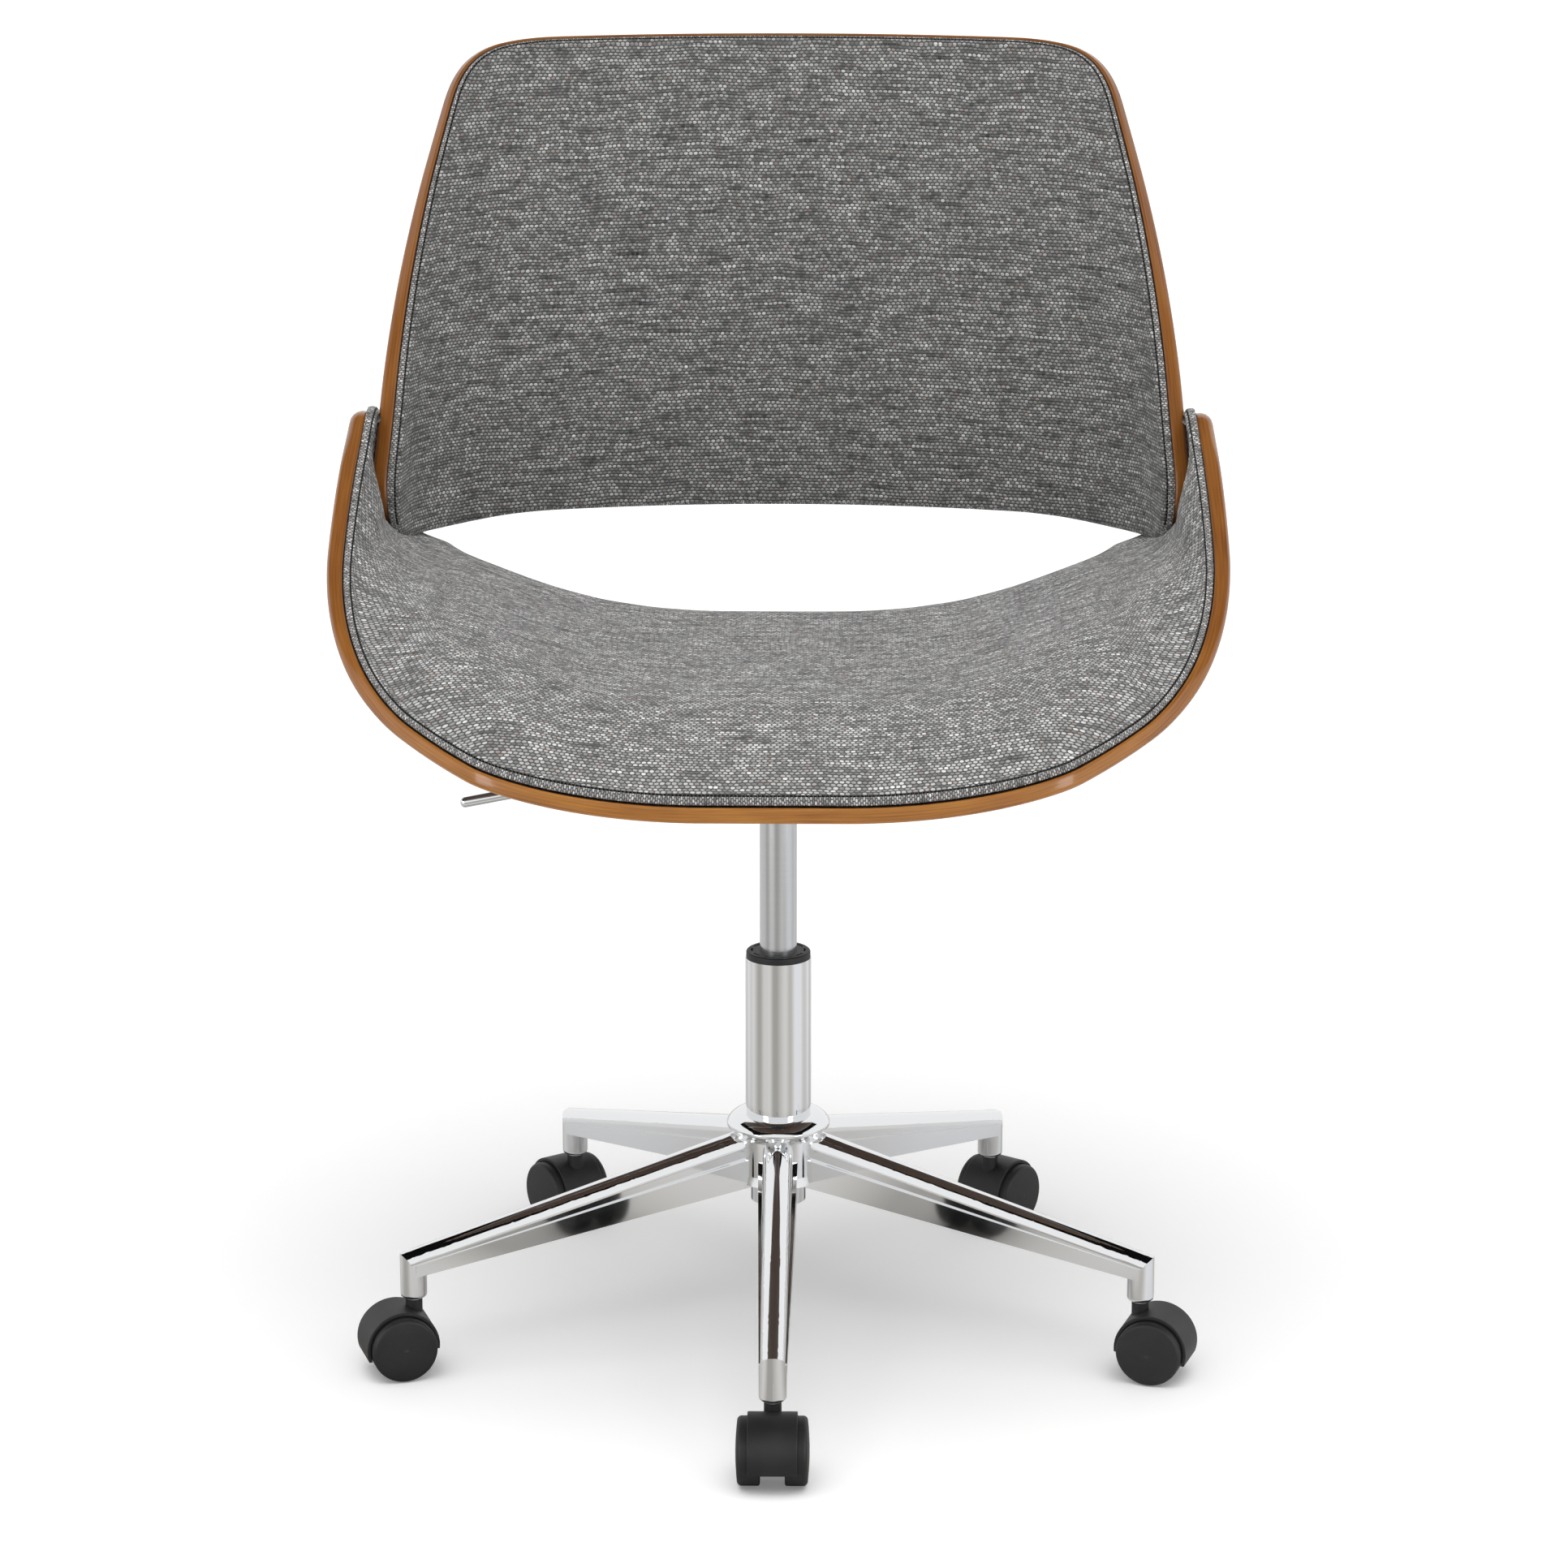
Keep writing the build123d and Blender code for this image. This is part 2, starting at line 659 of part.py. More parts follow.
def plate_bolt():
    low = SEAT_BOTTOM - PLATE_THICKNESS
    hexagon = RegularPolygon(BOLT_HEAD_RADIUS, 6)
    head = Pos(0, 0, low - BOLT_HEAD_HEIGHT) * extrude(hexagon, BOLT_HEAD_HEIGHT)
    return head + post(BOLT_RADIUS, low, SEAT_TOP - FREE_CLEARANCE)


def tee_nut():
    """Tee nut with its flange's face at Z = 0 and its barrel below."""
    flange = post(NUT_FLANGE_RADIUS, -NUT_FLANGE, 0)
    return flange + post(NUT_BARREL_RADIUS, -NUT_FLANGE - NUT_BARREL, 0)


def lever_pivot_pin():
    length = LEVER_HUB_WIDTH + 2 * (FREE_CLEARANCE + EAR_THICKNESS)
    return rod_y(PIVOT_RADIUS, length, -LEVER_PIVOT, LEVER_HEIGHT)


def release_lever():
    hub = rod_y(LEVER_HUB_RADIUS, LEVER_HUB_WIDTH, 0, 0)
    rod = Rot(0, -90 - LEVER_SLOPE, 0) * post(LEVER_RADIUS, 0, LEVER_REACH)
    rod = fillet(rod.edges().sort_by(Axis.X)[0], LEVER_RADIUS - FREE_CLEARANCE)
    reach = LEVER_PIVOT + BLADE_OVERRUN
    blade = Pos(reach / 2, 0, 0) * Box(reach, BLADE_WIDTH, BLADE_THICKNESS)
    lever = hub + rod + blade
    lever -= rod_y(PIVOT_RADIUS + RUNNING_CLEARANCE, PLATE_BOX_DEPTH, 0, 0)
    return Pos(-LEVER_PIVOT, 0, LEVER_HEIGHT) * lever


# Seat shell

SEAT_SIDE = (
    (-SEAT_FRONT, SEAT_BOTTOM - PLY),
    (-SEAT_FRONT, SEAT_BOTTOM + KNEE_RISE),
    (BEND_Y, SEAT_BOTTOM + BEND_RISE),
    (TIP_Y, SEAT_BOTTOM + TIP_RISE),
    (WING_REAR_Y, SEAT_BOTTOM + WING_REAR_RISE),
    (SEAT_REAR, SEAT_BOTTOM + REAR_STRAIGHT),
    (SEAT_REAR, SEAT_BOTTOM - PLY),
)
SEAT_SIDE_ROUNDS = (0.0, KNEE_ROUND, BEND_ROUND, TIP_ROUND, WING_REAR_ROUND, REAR_ROUND, 0.0)


def wing_x(height, inset):
    """X of the right wing's face at a height."""
    distance = distance_at(SEAT_LEGS, inset, height - SEAT_BOTTOM)
    return place(SEAT_LEGS, inset, distance)[0]


def seat_blank():
    side = make_face(FilletPolyline(*SEAT_SIDE, radius=SEAT_SIDE_ROUNDS, close=True))
    trim = extrude(Plane.YZ * side, FAR, both=True)
    start = Plane((0, -FAR, SEAT_BOTTOM), x_dir=(1, 0, 0), z_dir=(0, -1, 0))
    lines = [(start * line).edge() for line in bent_line(SEAT_LEGS, 0.0)]
    return bent_sheet(lines, Vector(0, 2 * FAR, 0), trim, Vector(-1, 0, 1))


# Back shell

BACK_UP = Vector(0, math.sin(math.radians(RECLINE)), math.cos(math.radians(RECLINE)))


def back_side(grow):
    """Outline of the back seen from the side, (Y, Z): a bowed front edge that curves into the top."""
    low = Vector(BACK_Y - FLAP_REACH - grow, BACK_BOTTOM - grow)
    high = Vector(low.X + BACK_EDGE_RUN, BACK_TOP + grow)
    edge = ThreePointArc(low, (low + high) / 2 + Vector(BACK_EDGE_BOW, 0), high)
    leave = 1 - BACK_TOP_DROP / BACK_HEIGHT
    start = edge @ leave
    slope = edge % leave
    corner = start + slope * ((high.Y - start.Y) / slope.Y)
    finish = corner + Vector(BACK_TOP_BACK, 0)
    outline = make_face([
        edge.trim(0, leave),
        Bezier(start, corner, finish),
        Polyline(finish, (FAR, high.Y), (FAR, low.Y), low),
    ])
    return fillet(outline.vertices().sort_by_distance(low)[0], FLAP_ROUND)


BACK_PLAN = Plane(origin=(0, BACK_Y, BACK_BOTTOM), x_dir=(1, 0, 0), z_dir=(0, 0, -1))
BACK_SPARE = Pos(*(BACK_UP * (-PLY / BACK_UP.Z)))
BACK_RUN = BACK_UP * ((BACK_HEIGHT + 2 * PLY) / BACK_UP.Z)


def back_blank():
    side = extrude(Plane.YZ * back_side(0.0), FAR, both=True)
    lines = [(BACK_SPARE * (BACK_PLAN * line)).edge() for line in bent_line(BACK_LEGS, 0.0)]
    return bent_sheet(lines, BACK_RUN, side, Vector(-1, -1, 0))


def back_room():
    """Space that the back and its pad take up, with some room around them."""
    section = BACK_SPARE * (BACK_PLAN * sheet_section(BACK_LEGS, -SOFT_CLEARANCE, BACK_PAD + PLY))
    half = extrude(section, BACK_RUN.length, dir=BACK_UP)
    return both_halves(half) & extrude(Plane.YZ * back_side(SOFT_CLEARANCE), FAR, both=True)


def flap_x(y, height, inset):
    """X of the right flap's face at a place seen from the side."""
    lean = (height - BACK_BOTTOM) * math.tan(math.radians(RECLINE))
    distance = distance_at(BACK_LEGS, inset, BACK_Y + lean - y)
    return place(BACK_LEGS, inset, distance)[0]


# Fastening of the flaps


def flap_bolt_places():
    return [(y, SEAT_BOTTOM + rise) for y, rise in FLAP_BOLTS]


def right_and_left(solids):
    return list(solids) + [mirror(solid, about=Plane.YZ) for solid in solids]


def flap_bolt(y, z):
    head = flap_x(y, z, PLY) + FLAP_BOLT_SINK
    tail = wing_x(z, PLY) + FLAP_BOLT_REACH
    shank = rod_x(BOLT_RADIUS, head, tail, y, z)
    return shank + rod_x(FLAP_BOLT_HEAD_RADIUS, head, head + FLAP_BOLT_HEAD, y, z)


def flap_tee_nut(y, z):
    nut = Pos(wing_x(z, PLY), y, z) * Rot(0, -90, 0) * tee_nut()
    return nut - rod_x(BOLT_RADIUS, 0, FAR, y, z)


def flap_spacer(y, z, seat, back):
    middle = flap_x(y, z, PLY / 2)
    bar = rod_x(SPACER_RADIUS, middle, wing_x(z, PLY), y, z)
    return bar - back - seat - rod_x(BOLT_RADIUS, 0, FAR, y, z)


def flap_pockets(y, z):
    """Everything bored out of the flap for one bolt."""
    head = flap_x(y, z, PLY) + FLAP_BOLT_SINK
    pocket = rod_x(FLAP_BOLT_HEAD_RADIUS, head - PLY, head + FLAP_BOLT_HEAD, y, z)
    return pocket + rod_x(BOLT_RADIUS, head - PLY, head + 2 * PLY, y, z)


def wing_pockets(y, z):
    """Everything bored out of the wing for one tee nut."""
    face = wing_x(z, PLY)
    pocket = rod_x(NUT_FLANGE_RADIUS, face - PLY, face + NUT_FLANGE, y, z)
    return pocket + rod_x(NUT_BARREL_RADIUS, face - PLY, face + NUT_FLANGE + NUT_BARREL, y, z)


# Pads


def crown_arc(crest, end):
    """Arc that is level at its crest and falls to its end."""
    run = end[0] - crest[0]
    fall = crest[1] - end[1]
    radius = (run**2 + fall**2) / (2 * fall)
    half = math.copysign(math.asin(min(1.0, abs(run) / radius)) / 2, run)
    middle = (crest[0] + radius * math.sin(half), crest[1] - radius * (1 - math.cos(half)))
    return ThreePointArc(crest, middle, end)


def pad_section(start, end, crest, start_edge, end_edge, crown, rounding):
    """Cross-section of a pad on its sheet: short sides, a crown and one rounded shoulder."""
    shoulder = end_edge - rounding
    diagonal = rounding * (1 - math.sqrt(0.5))
    return make_face([
        Polyline((start, start_edge), (start, -PAD_SINK), (end, -PAD_SINK), (end, shoulder)),
        ThreePointArc((end, shoulder), (end - diagonal, end_edge - diagonal), (end - rounding, end_edge)),
        crown_arc((crest, crown), (end - rounding, end_edge)),
        crown_arc((crest, crown), (start, start_edge)),
    ])


def blend(first, last, share, stretch):
    """Smooth passage from one value to another while the share crosses a stretch."""
    start, end = stretch
    passed = min(1.0, max(0.0, (share - start) / (end - start)))
    return first + (last - first) * passed * passed * (3 - 2 * passed)


def y_at(height, points):
    """Y of an outline at a height, with the outline's points in rising order."""
    for (y0, z0), (y1, z1) in zip(points, points[1:]):
        if z0 <= height <= z1:
            return y0 + (y1 - y0) * (height - z0) / (z1 - z0)
    return points[-1][0]


def seat_pad_station(distance, whole):
    """Plane across the seat pad and the pad's cross-section in it."""
    along = abs(distance)
    x, rise, heading = place(SEAT_LEGS, PLY, along)
    side = math.copysign(1.0, distance)
    angle = math.radians(heading)
    height = SEAT_BOTTOM + rise
    plane = Plane(
        origin=(side * x, 0, height),
        x_dir=(0, 1, 0),
        z_dir=(math.cos(angle), 0, side * math.sin(angle)),
    )
    edge_height = height - PLY * math.cos(angle)
    front = y_at(edge_height, SEAT_SIDE[:4])
    rear = y_at(edge_height, SEAT_SIDE[:3:-1])
    share = along / whole
    crown = blend(SEAT_PAD, SEAT_PAD_CORNER, share, CORNER_GAINS)
    crown = blend(crown, SEAT_PAD_WING, share, WING_THINS)
    crown = blend(crown, SEAT_PAD_TIP, share, TIP_THINS)
    rear_edge = blend(crown - SEAT_PAD_REAR_DROP, PAD_EDGE, share, REAR_EDGE_THINS)
    rounding = blend(SEAT_PAD_ROUND, PAD_EDGE / 2, share, REAR_ROUND_TIGHTENS)
    crest = blend(SEAT_PAD_CREST, (front + rear) / 2, share, CREST_CENTRES)
    section = pad_section(
        front + PAD_INSET, rear - PAD_INSET, crest, PAD_EDGE, rear_edge, crown, rounding
    )
    return plane * section


def even_stations(whole, count):
    return [whole * index / count for index in range(-count, count + 1)]


def seat_pad(shell, back):
    top = SEAT_BOTTOM + WING_REAR_RISE - SEAT_PAD_TOP
    whole = distance_at(SEAT_LEGS, PLY, top - SEAT_BOTTOM)
    pad = loft([seat_pad_station(distance, whole) for distance in even_stations(whole, SEAT_PAD_STATIONS)])
    pad = pad - shell - back - back_room()
    for y, z in flap_bolt_places():
        bar = rod_x(SPACER_RADIUS + FREE_CLEARANCE, 0, wing_x(z, 0.0), y, z)
        pad -= bar + mirror(bar, about=Plane.YZ)
    return pad


def front_edge_y(height):
    """Y of the back's front edge at a height, with the rounded corner of its flap."""
    low = BACK_Y - FLAP_REACH
    share = (height - BACK_BOTTOM) / BACK_HEIGHT
    edge = low + share * BACK_EDGE_RUN + 4 * BACK_EDGE_BOW * share * (1 - share)
    corner = math.pi / 2 - math.atan((BACK_EDGE_RUN + 4 * BACK_EDGE_BOW) / BACK_HEIGHT)
    tangent = FLAP_ROUND / math.tan(corner / 2)
    left = max(0.0, BACK_TOP - height)
    if left < BACK_TOP_DROP:
        share = BACK_TOP_DROP / BACK_HEIGHT
        start = low + (1 - share) * (BACK_EDGE_RUN + 4 * BACK_EDGE_BOW * share)
        slope = (BACK_EDGE_RUN + 4 * BACK_EDGE_BOW * (2 * share - 1)) / BACK_HEIGHT
        passed = 1 - math.sqrt(left / BACK_TOP_DROP)
        run = slope * BACK_TOP_DROP * (2 * passed - passed**2)
        return start + run + BACK_TOP_BACK * passed**2
    if height - BACK_BOTTOM > tangent * math.sin(corner):
        return edge
    drop = height - BACK_BOTTOM - FLAP_ROUND
    return low + tangent - math.sqrt(max(0.0, FLAP_ROUND**2 - drop**2))


def back_pad_station(distance, whole):
    """Plane across the back pad and the pad's cross-section in it."""
    along = abs(distance)
    x, depth, heading = place(BACK_LEGS, PLY, along)
    side = math.copysign(1.0, distance)
    angle = math.radians(heading)
    inward = Vector(-side * math.sin(angle), -math.cos(angle), 0)
    lift = PLY * BACK_UP.Y * math.cos(angle)
    plane = Plane(
        origin=Vector(side * x, BACK_Y - depth, BACK_BOTTOM) + BACK_UP * lift,
        x_dir=BACK_UP,
        z_dir=BACK_UP.cross(inward),
    )
    full = BACK_HEIGHT / BACK_UP.Z
    outer_y = BACK_Y - depth + PLY * math.cos(angle)

    def margin(run):
        return outer_y + run * BACK_UP.Y - front_edge_y(BACK_BOTTOM + run * BACK_UP.Z)

    best = max(even_stations(full / 2, BACK_PAD_SEARCH), key=lambda run: margin(run + full / 2)) + full / 2
    bottom = halfway(0.0, best, lambda run: margin(run) < 0)
    top = halfway(best, full, lambda run: margin(run) > 0)
    share = along / whole
    edge = blend(BACK_PAD_EDGE, PAD_EDGE, share, BACK_EDGE_THINS)
    crown = blend(BACK_PAD, BACK_PAD_FLAP, share, BACK_CROWN_THINS)
    section = pad_section(
        bottom + PAD_INSET, top - PAD_INSET, (bottom + top) / 2, edge, edge, crown, BACK_PAD_ROUND
    )
    return plane * section


def back_pad(shell):
    whole = distance_at(BACK_LEGS, PLY, FLAP_REACH - FLAP_ROUND)
    stations = even_stations(whole, BACK_PAD_STATIONS)
    return loft([back_pad_station(distance, whole) for distance in stations], ruled=True) - shell


def build():
    os.makedirs("parts", exist_ok=True)

    save("star_base", star_base())
    save("caster_sleeves", group(caster_place(index) * caster_sleeve() for index in range(ARM_COUNT)))
    for index in range(ARM_COUNT):
        spot = caster_place(index)
        name = f"caster_{index + 1}"
        save(f"{name}_hood", spot * caster_hood())
        save(f"{name}_stem", spot * caster_stem())
        save(f"{name}_axle", spot * caster_axle())
        save(f"{name}_wheel_a", spot * caster_wheel(1))
        save(f"{name}_wheel_b", spot * caster_wheel(-1))

    spigot_hole = SPIGOT_RADIUS + RUNNING_CLEARANCE
    save("outer_column", outer_column())
    save("column_foot", pipe(TAIL_BORE, spigot_hole, COLUMN_BOTTOM, FOOT_TOP))
    save("column_bush", column_bush())
    save("bearing_lower_race", pipe(RACE_RADIUS, spigot_hole, FOOT_TOP, BALLS_LOW))
    save("bearing_balls", bearing_balls())
    save("bearing_upper_race", pipe(RACE_RADIUS, SPIGOT_RADIUS, BALLS_HIGH, ROD_LOW))
    spigot_low = COLUMN_BOTTOM - SPIGOT_LENGTH
    save("piston_rod", post(SPIGOT_RADIUS, spigot_low, ROD_LOW) + post(ROD_RADIUS, ROD_LOW, HEAD_LOW))
    clip_high = COLUMN_BOTTOM - FREE_CLEARANCE
    save("rod_clip", pipe(CLIP_RADIUS, SPIGOT_RADIUS, clip_high - CLIP_THICKNESS, clip_high))
    save("rubber_buffer", pipe(BUFFER_RADIUS, ROD_RADIUS, ROD_LOW, ROD_LOW + BUFFER_HEIGHT))
    save("piston_head", post(TUBE_BORE - RUNNING_CLEARANCE, HEAD_LOW, HEAD_LOW + HEAD_LENGTH))
    save("pressure_tube", pressure_tube())
    gland_hole = ROD_RADIUS + RUNNING_CLEARANCE
    save("tube_gland", pipe(TUBE_BORE, gland_hole, TUBE_BOTTOM, TUBE_BOTTOM + GLAND_LENGTH))
    save("valve_plug", pipe(TUBE_BORE, PIN_RADIUS + RUNNING_CLEARANCE, TUBE_TOP - VALVE_LENGTH, TUBE_TOP))
    save("release_pin", release_pin())

    save("seat_plate", seat_plate())
    save("lever_pivot_pin", lever_pivot_pin())
    save("release_lever", release_lever())
    bolt_hole = post(BOLT_RADIUS, -FAR, FAR)
    spots = [Pos(x, y, 0) for x, y in plate_bolt_places()]
    save("plate_bolts", group(spot * plate_bolt() for spot in spots))
    save("plate_tee_nuts", group(spot * (Pos(0, 0, SEAT_TOP) * tee_nut() - bolt_hole) for spot in spots))

    seat = seat_blank()
    back = back_blank()
    save("seat_pad", seat_pad(seat, back))
    save("back_pad", back_pad(back))
    places = flap_bolt_places()
    for spot in spots:
        seat -= spot * (Pos(0, 0, SEAT_TOP) * tee_nut() + post(BOLT_RADIUS, SEAT_BOTTOM - PLY, SEAT_TOP))
    for pocket in right_and_left([wing_pockets(y, z) for y, z in places]):
        seat -= pocket
    for pocket in right_and_left([flap_pockets(y, z) for y, z in places]):
        back -= pocket
    save("seat_shell", seat)
    save("back_shell", back)
    save("flap_bolts", group(right_and_left([flap_bolt(y, z) for y, z in places])))
    save("flap_tee_nuts", group(right_and_left([flap_tee_nut(y, z) for y, z in places])))
    save("flap_spacers", group(right_and_left([flap_spacer(y, z, seat, back) for y, z in places])))


build()
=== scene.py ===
# %% [markdown]
# # Swivel office chair: the looks
#
# The chair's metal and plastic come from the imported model, which is loaded as a fixed frame. This
# lesson adds what a solid model leaves plain: the finish of each surface, the rounded plywood
# shells, and the two upholstered pads. All shapes are worked out in millimetres and put into the
# meshes in metres.

# %% Load the frame
import math

import bmesh
import bpy
import numpy as np
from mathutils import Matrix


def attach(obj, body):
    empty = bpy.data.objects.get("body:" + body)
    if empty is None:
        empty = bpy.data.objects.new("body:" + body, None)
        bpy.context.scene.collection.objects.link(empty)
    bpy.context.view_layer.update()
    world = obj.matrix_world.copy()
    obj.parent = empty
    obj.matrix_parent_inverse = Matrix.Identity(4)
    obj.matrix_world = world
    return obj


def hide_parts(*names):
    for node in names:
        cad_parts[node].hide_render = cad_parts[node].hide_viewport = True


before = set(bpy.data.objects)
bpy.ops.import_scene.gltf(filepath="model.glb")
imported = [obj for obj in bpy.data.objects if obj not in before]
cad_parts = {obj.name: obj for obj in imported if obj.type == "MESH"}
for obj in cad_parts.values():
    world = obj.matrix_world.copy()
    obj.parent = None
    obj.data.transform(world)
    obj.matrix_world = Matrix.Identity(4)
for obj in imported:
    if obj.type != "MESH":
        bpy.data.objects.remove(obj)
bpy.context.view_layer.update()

# %% [markdown]
# ## Bent sheets
#
# The seat and the back of this chair are sheets of plywood bent along one direction. Such a sheet
# unrolls flat, so it is easiest to draw on the flat: `along` runs round the bend, and `across`
# runs over it. A line made of arcs says where each distance along the sheet ends up in space.

# %% Lines made of arcs
PLY = 12.0
SEAT_BOTTOM = 472.0
SEAT_BEND = ((50.0, 0.0), (585.0, 22.0), (106.0, 68.0), (480.0, 13.0))
BACK_BEND = ((720.0, 18.0), (160.0, 24.0), (95.0, 36.0), (60.0, 0.0))


def bend(legs, along):
    """Run, rise and heading of a bent line: each leg (radius, degrees) adds its own arc, cut at
    the distance that is left over. A leg with no degrees is straight."""
    left = np.abs(along)
    run = np.zeros_like(left)
    rise = np.zeros_like(left)
    heading = np.zeros_like(left)
    for size, degrees in legs:
        last = (size, degrees) == legs[-1]
        length = size * math.radians(degrees) if degrees else size
        step = left if last else np.minimum(left, length)
        if degrees:
            swing = step / size
            run = run + size * (np.sin(heading + swing) - np.sin(heading))
            rise = rise + size * (np.cos(heading) - np.cos(heading + swing))
            heading = heading + swing
        else:
            run = run + step * np.cos(heading)
            rise = rise + step * np.sin(heading)
        left = left - step
    return run, rise, heading


def seat_point(along, across, depth):
    """Place on the seat: the bent line at `along`, moved along Y by `across` and into the bowl,
    square to the sheet, by `depth`."""
    run, rise, heading = bend(SEAT_BEND, along)
    x = np.sign(along) * (run - depth * np.sin(heading))
    z = SEAT_BOTTOM + rise + depth * np.cos(heading)
    return np.stack([x, across + 0 * x, z], axis=-1)


BACK_Y = 272.0
BACK_BOTTOM = 594.0
RECLINE = math.radians(10.0)


def back_point(along, up, depth):
    """Place on the back: the bent line lies level, is carried up the reclined slope by `up`, and
    is moved towards the sitter, square to the sheet, by `depth`."""
    run, rise, heading = bend(BACK_BEND, along)
    side = np.where(along < 0, -1.0, 1.0)
    tangent = np.stack([side * np.cos(heading), -np.sin(heading), 0 * run], axis=-1)
    tangent = tangent * side[..., None]
    slope = np.array([0.0, math.sin(RECLINE), math.cos(RECLINE)])
    inward = np.cross(tangent, slope)
    inward = inward / np.linalg.norm(inward, axis=-1, keepdims=True)
    foot = np.stack([side * run, BACK_Y - rise, BACK_BOTTOM + 0 * run], axis=-1)
    up = np.asarray(up)[..., None]
    depth = np.asarray(depth)[..., None]
    return foot + up * slope + depth * inward


# %% [markdown]
# ## Outlines on the flat
#
# Each sheet is cut by an outline that is drawn from the side. For every station along the sheet,
# the outline gives two limits across it. The stations crowd together towards the two ends, where
# the limits meet in a round tip, so that the tip stays smooth.

# %% Seat outline
SHELL_STATIONS = 321
TRIALS = 4000
SEAT_TRIAL = 560.0
SEAT_SIDE = np.array(
    [(-238, 440), (-238, 490), (-145, 523), (138, 694), (190, 685), (206, 600), (206, 440)], float
)
SEAT_ROUNDS = (0, 30, 250, 22, 38, 60, 0)


def rounded_line(corners, rounds, steps=24):
    """Polyline with each corner swapped for an arc that touches both its sides."""
    points = [corners[:1]]
    for before, corner, after, radius in zip(corners, corners[1:], corners[2:], rounds[1:]):
        enter = (before - corner) / np.linalg.norm(before - corner)
        leave = (after - corner) / np.linalg.norm(after - corner)
        half = math.acos(np.clip(enter @ leave, -1, 1)) / 2
        middle = enter + leave
        centre = corner + middle / np.linalg.norm(middle) * radius / math.sin(half)
        start = corner + enter * radius / math.tan(half) - centre
        finish = corner + leave * radius / math.tan(half) - centre
        share = np.linspace(0, 1, steps)[:, None]
        sweep = math.pi - 2 * half
        arc = np.sin((1 - share) * sweep) * start + np.sin(share * sweep) * finish
        points.append(centre + arc / math.sin(sweep))
    points.append(corners[-1:])
    return np.concatenate(points)


def crowded(count):
    """Numbers from -1 to 1 that crowd towards both ends."""
    return np.sin(np.linspace(-math.pi / 2, math.pi / 2, count))


def seat_height(along):
    """Height of the seat sheet's outer face above the floor."""
    return SEAT_BOTTOM + bend(SEAT_BEND, along)[1]


def seat_limits(count):
    """Stations along the seat, and the front and rear limits across it at each of them."""
    outline = rounded_line(SEAT_SIDE, SEAT_ROUNDS)
    tip = outline[:, 1].argmax()
    front, rear = outline[: tip + 1], outline[: tip - 1 : -1]
    trial = np.linspace(0, SEAT_TRIAL, TRIALS)
    whole = np.interp(outline[tip, 1], seat_height(trial), trial)
    along = whole * crowded(count)
    height = seat_height(along)
    front_limit = np.interp(height, front[:, 1], front[:, 0])
    rear_limit = np.interp(height, rear[:, 1], rear[:, 0])
    return along, front_limit, rear_limit


seat_along, seat_front, seat_rear = seat_limits(SHELL_STATIONS)
print("seat sheet runs", round(2 * seat_along[-1]), "mm round the bend")

# %% Back outline
BACK_TRIAL = 420.0
BACK_HEIGHT = 362.8
BACK_FLAP = 107.0
BACK_LEAN = 180.8
BACK_BOW = 13.0
FLAP_ROUND = 34.0
CORNER_DROP = 45.0
CORNER_BACK = 25.0


def back_edge(height):
    """Y of the back's front edge at a height: a bowed line, with a rounded lower corner and a
    corner at the top that curves backwards."""
    share = (height - BACK_BOTTOM) / BACK_HEIGHT
    edge = BACK_FLAP + share * BACK_LEAN + 4 * BACK_BOW * share * (1 - share)
    angle = math.pi / 2 - math.atan((BACK_LEAN + 4 * BACK_BOW) / BACK_HEIGHT)
    touch = FLAP_ROUND / math.tan(angle / 2)
    drop = height - BACK_BOTTOM - FLAP_ROUND
    low = BACK_FLAP + touch - np.sqrt(np.maximum(0, FLAP_ROUND**2 - drop**2))
    edge = np.where(height - BACK_BOTTOM > touch * math.sin(angle), edge, low)
    passed = 1 - np.sqrt(np.clip((BACK_BOTTOM + BACK_HEIGHT - height) / CORNER_DROP, 0, 1))
    share = CORNER_DROP / BACK_HEIGHT
    start = BACK_FLAP + (1 - share) * (BACK_LEAN + 4 * BACK_BOW * share)
    slope = (BACK_LEAN + 4 * BACK_BOW * (2 * share - 1)) / BACK_HEIGHT
    high = start + slope * CORNER_DROP * (2 * passed - passed**2) + CORNER_BACK * passed**2
    return np.where(passed > 0, high, edge)


def back_limits(count):
    """Stations along the back, and the lower and upper limits up the slope at each of them: the
    stretch of the slope that lies behind the front edge."""
    up = np.linspace(0, BACK_HEIGHT / math.cos(RECLINE), 3001)
    edge = back_edge(BACK_BOTTOM + up * math.cos(RECLINE)) - up * math.sin(RECLINE)
    trial = np.linspace(0, BACK_TRIAL, TRIALS)
    reach = BACK_Y - bend(BACK_BEND, trial)[1]
    whole = np.interp(-edge.min(), -reach, trial)
    along = whole * crowded(count)
    depth = BACK_Y - bend(BACK_BEND, along)[1]
    lowest = edge.argmin()
    upper = np.interp(depth, edge[lowest:], up[lowest:])
    lower = np.interp(-depth, -edge[: lowest + 1], up[: lowest + 1])
    return along, lower, upper


back_along, back_low, back_high = back_limits(SHELL_STATIONS)
print("back sheet runs", round(2 * back_along[-1]), "mm round the bend")

# %% [markdown]
# ## Putting grids into meshes
#
# A piece is made of patches. A patch is a grid of points, and each cell of the grid is a face.
# Neighbouring patches share their border points, which are merged at the end, so the piece is
# closed. A patch also says which finish it has, and a flat pair of coordinates in metres for the
# patterns that follow the surface.

# %% Patches and pieces
MERGE = 2e-6


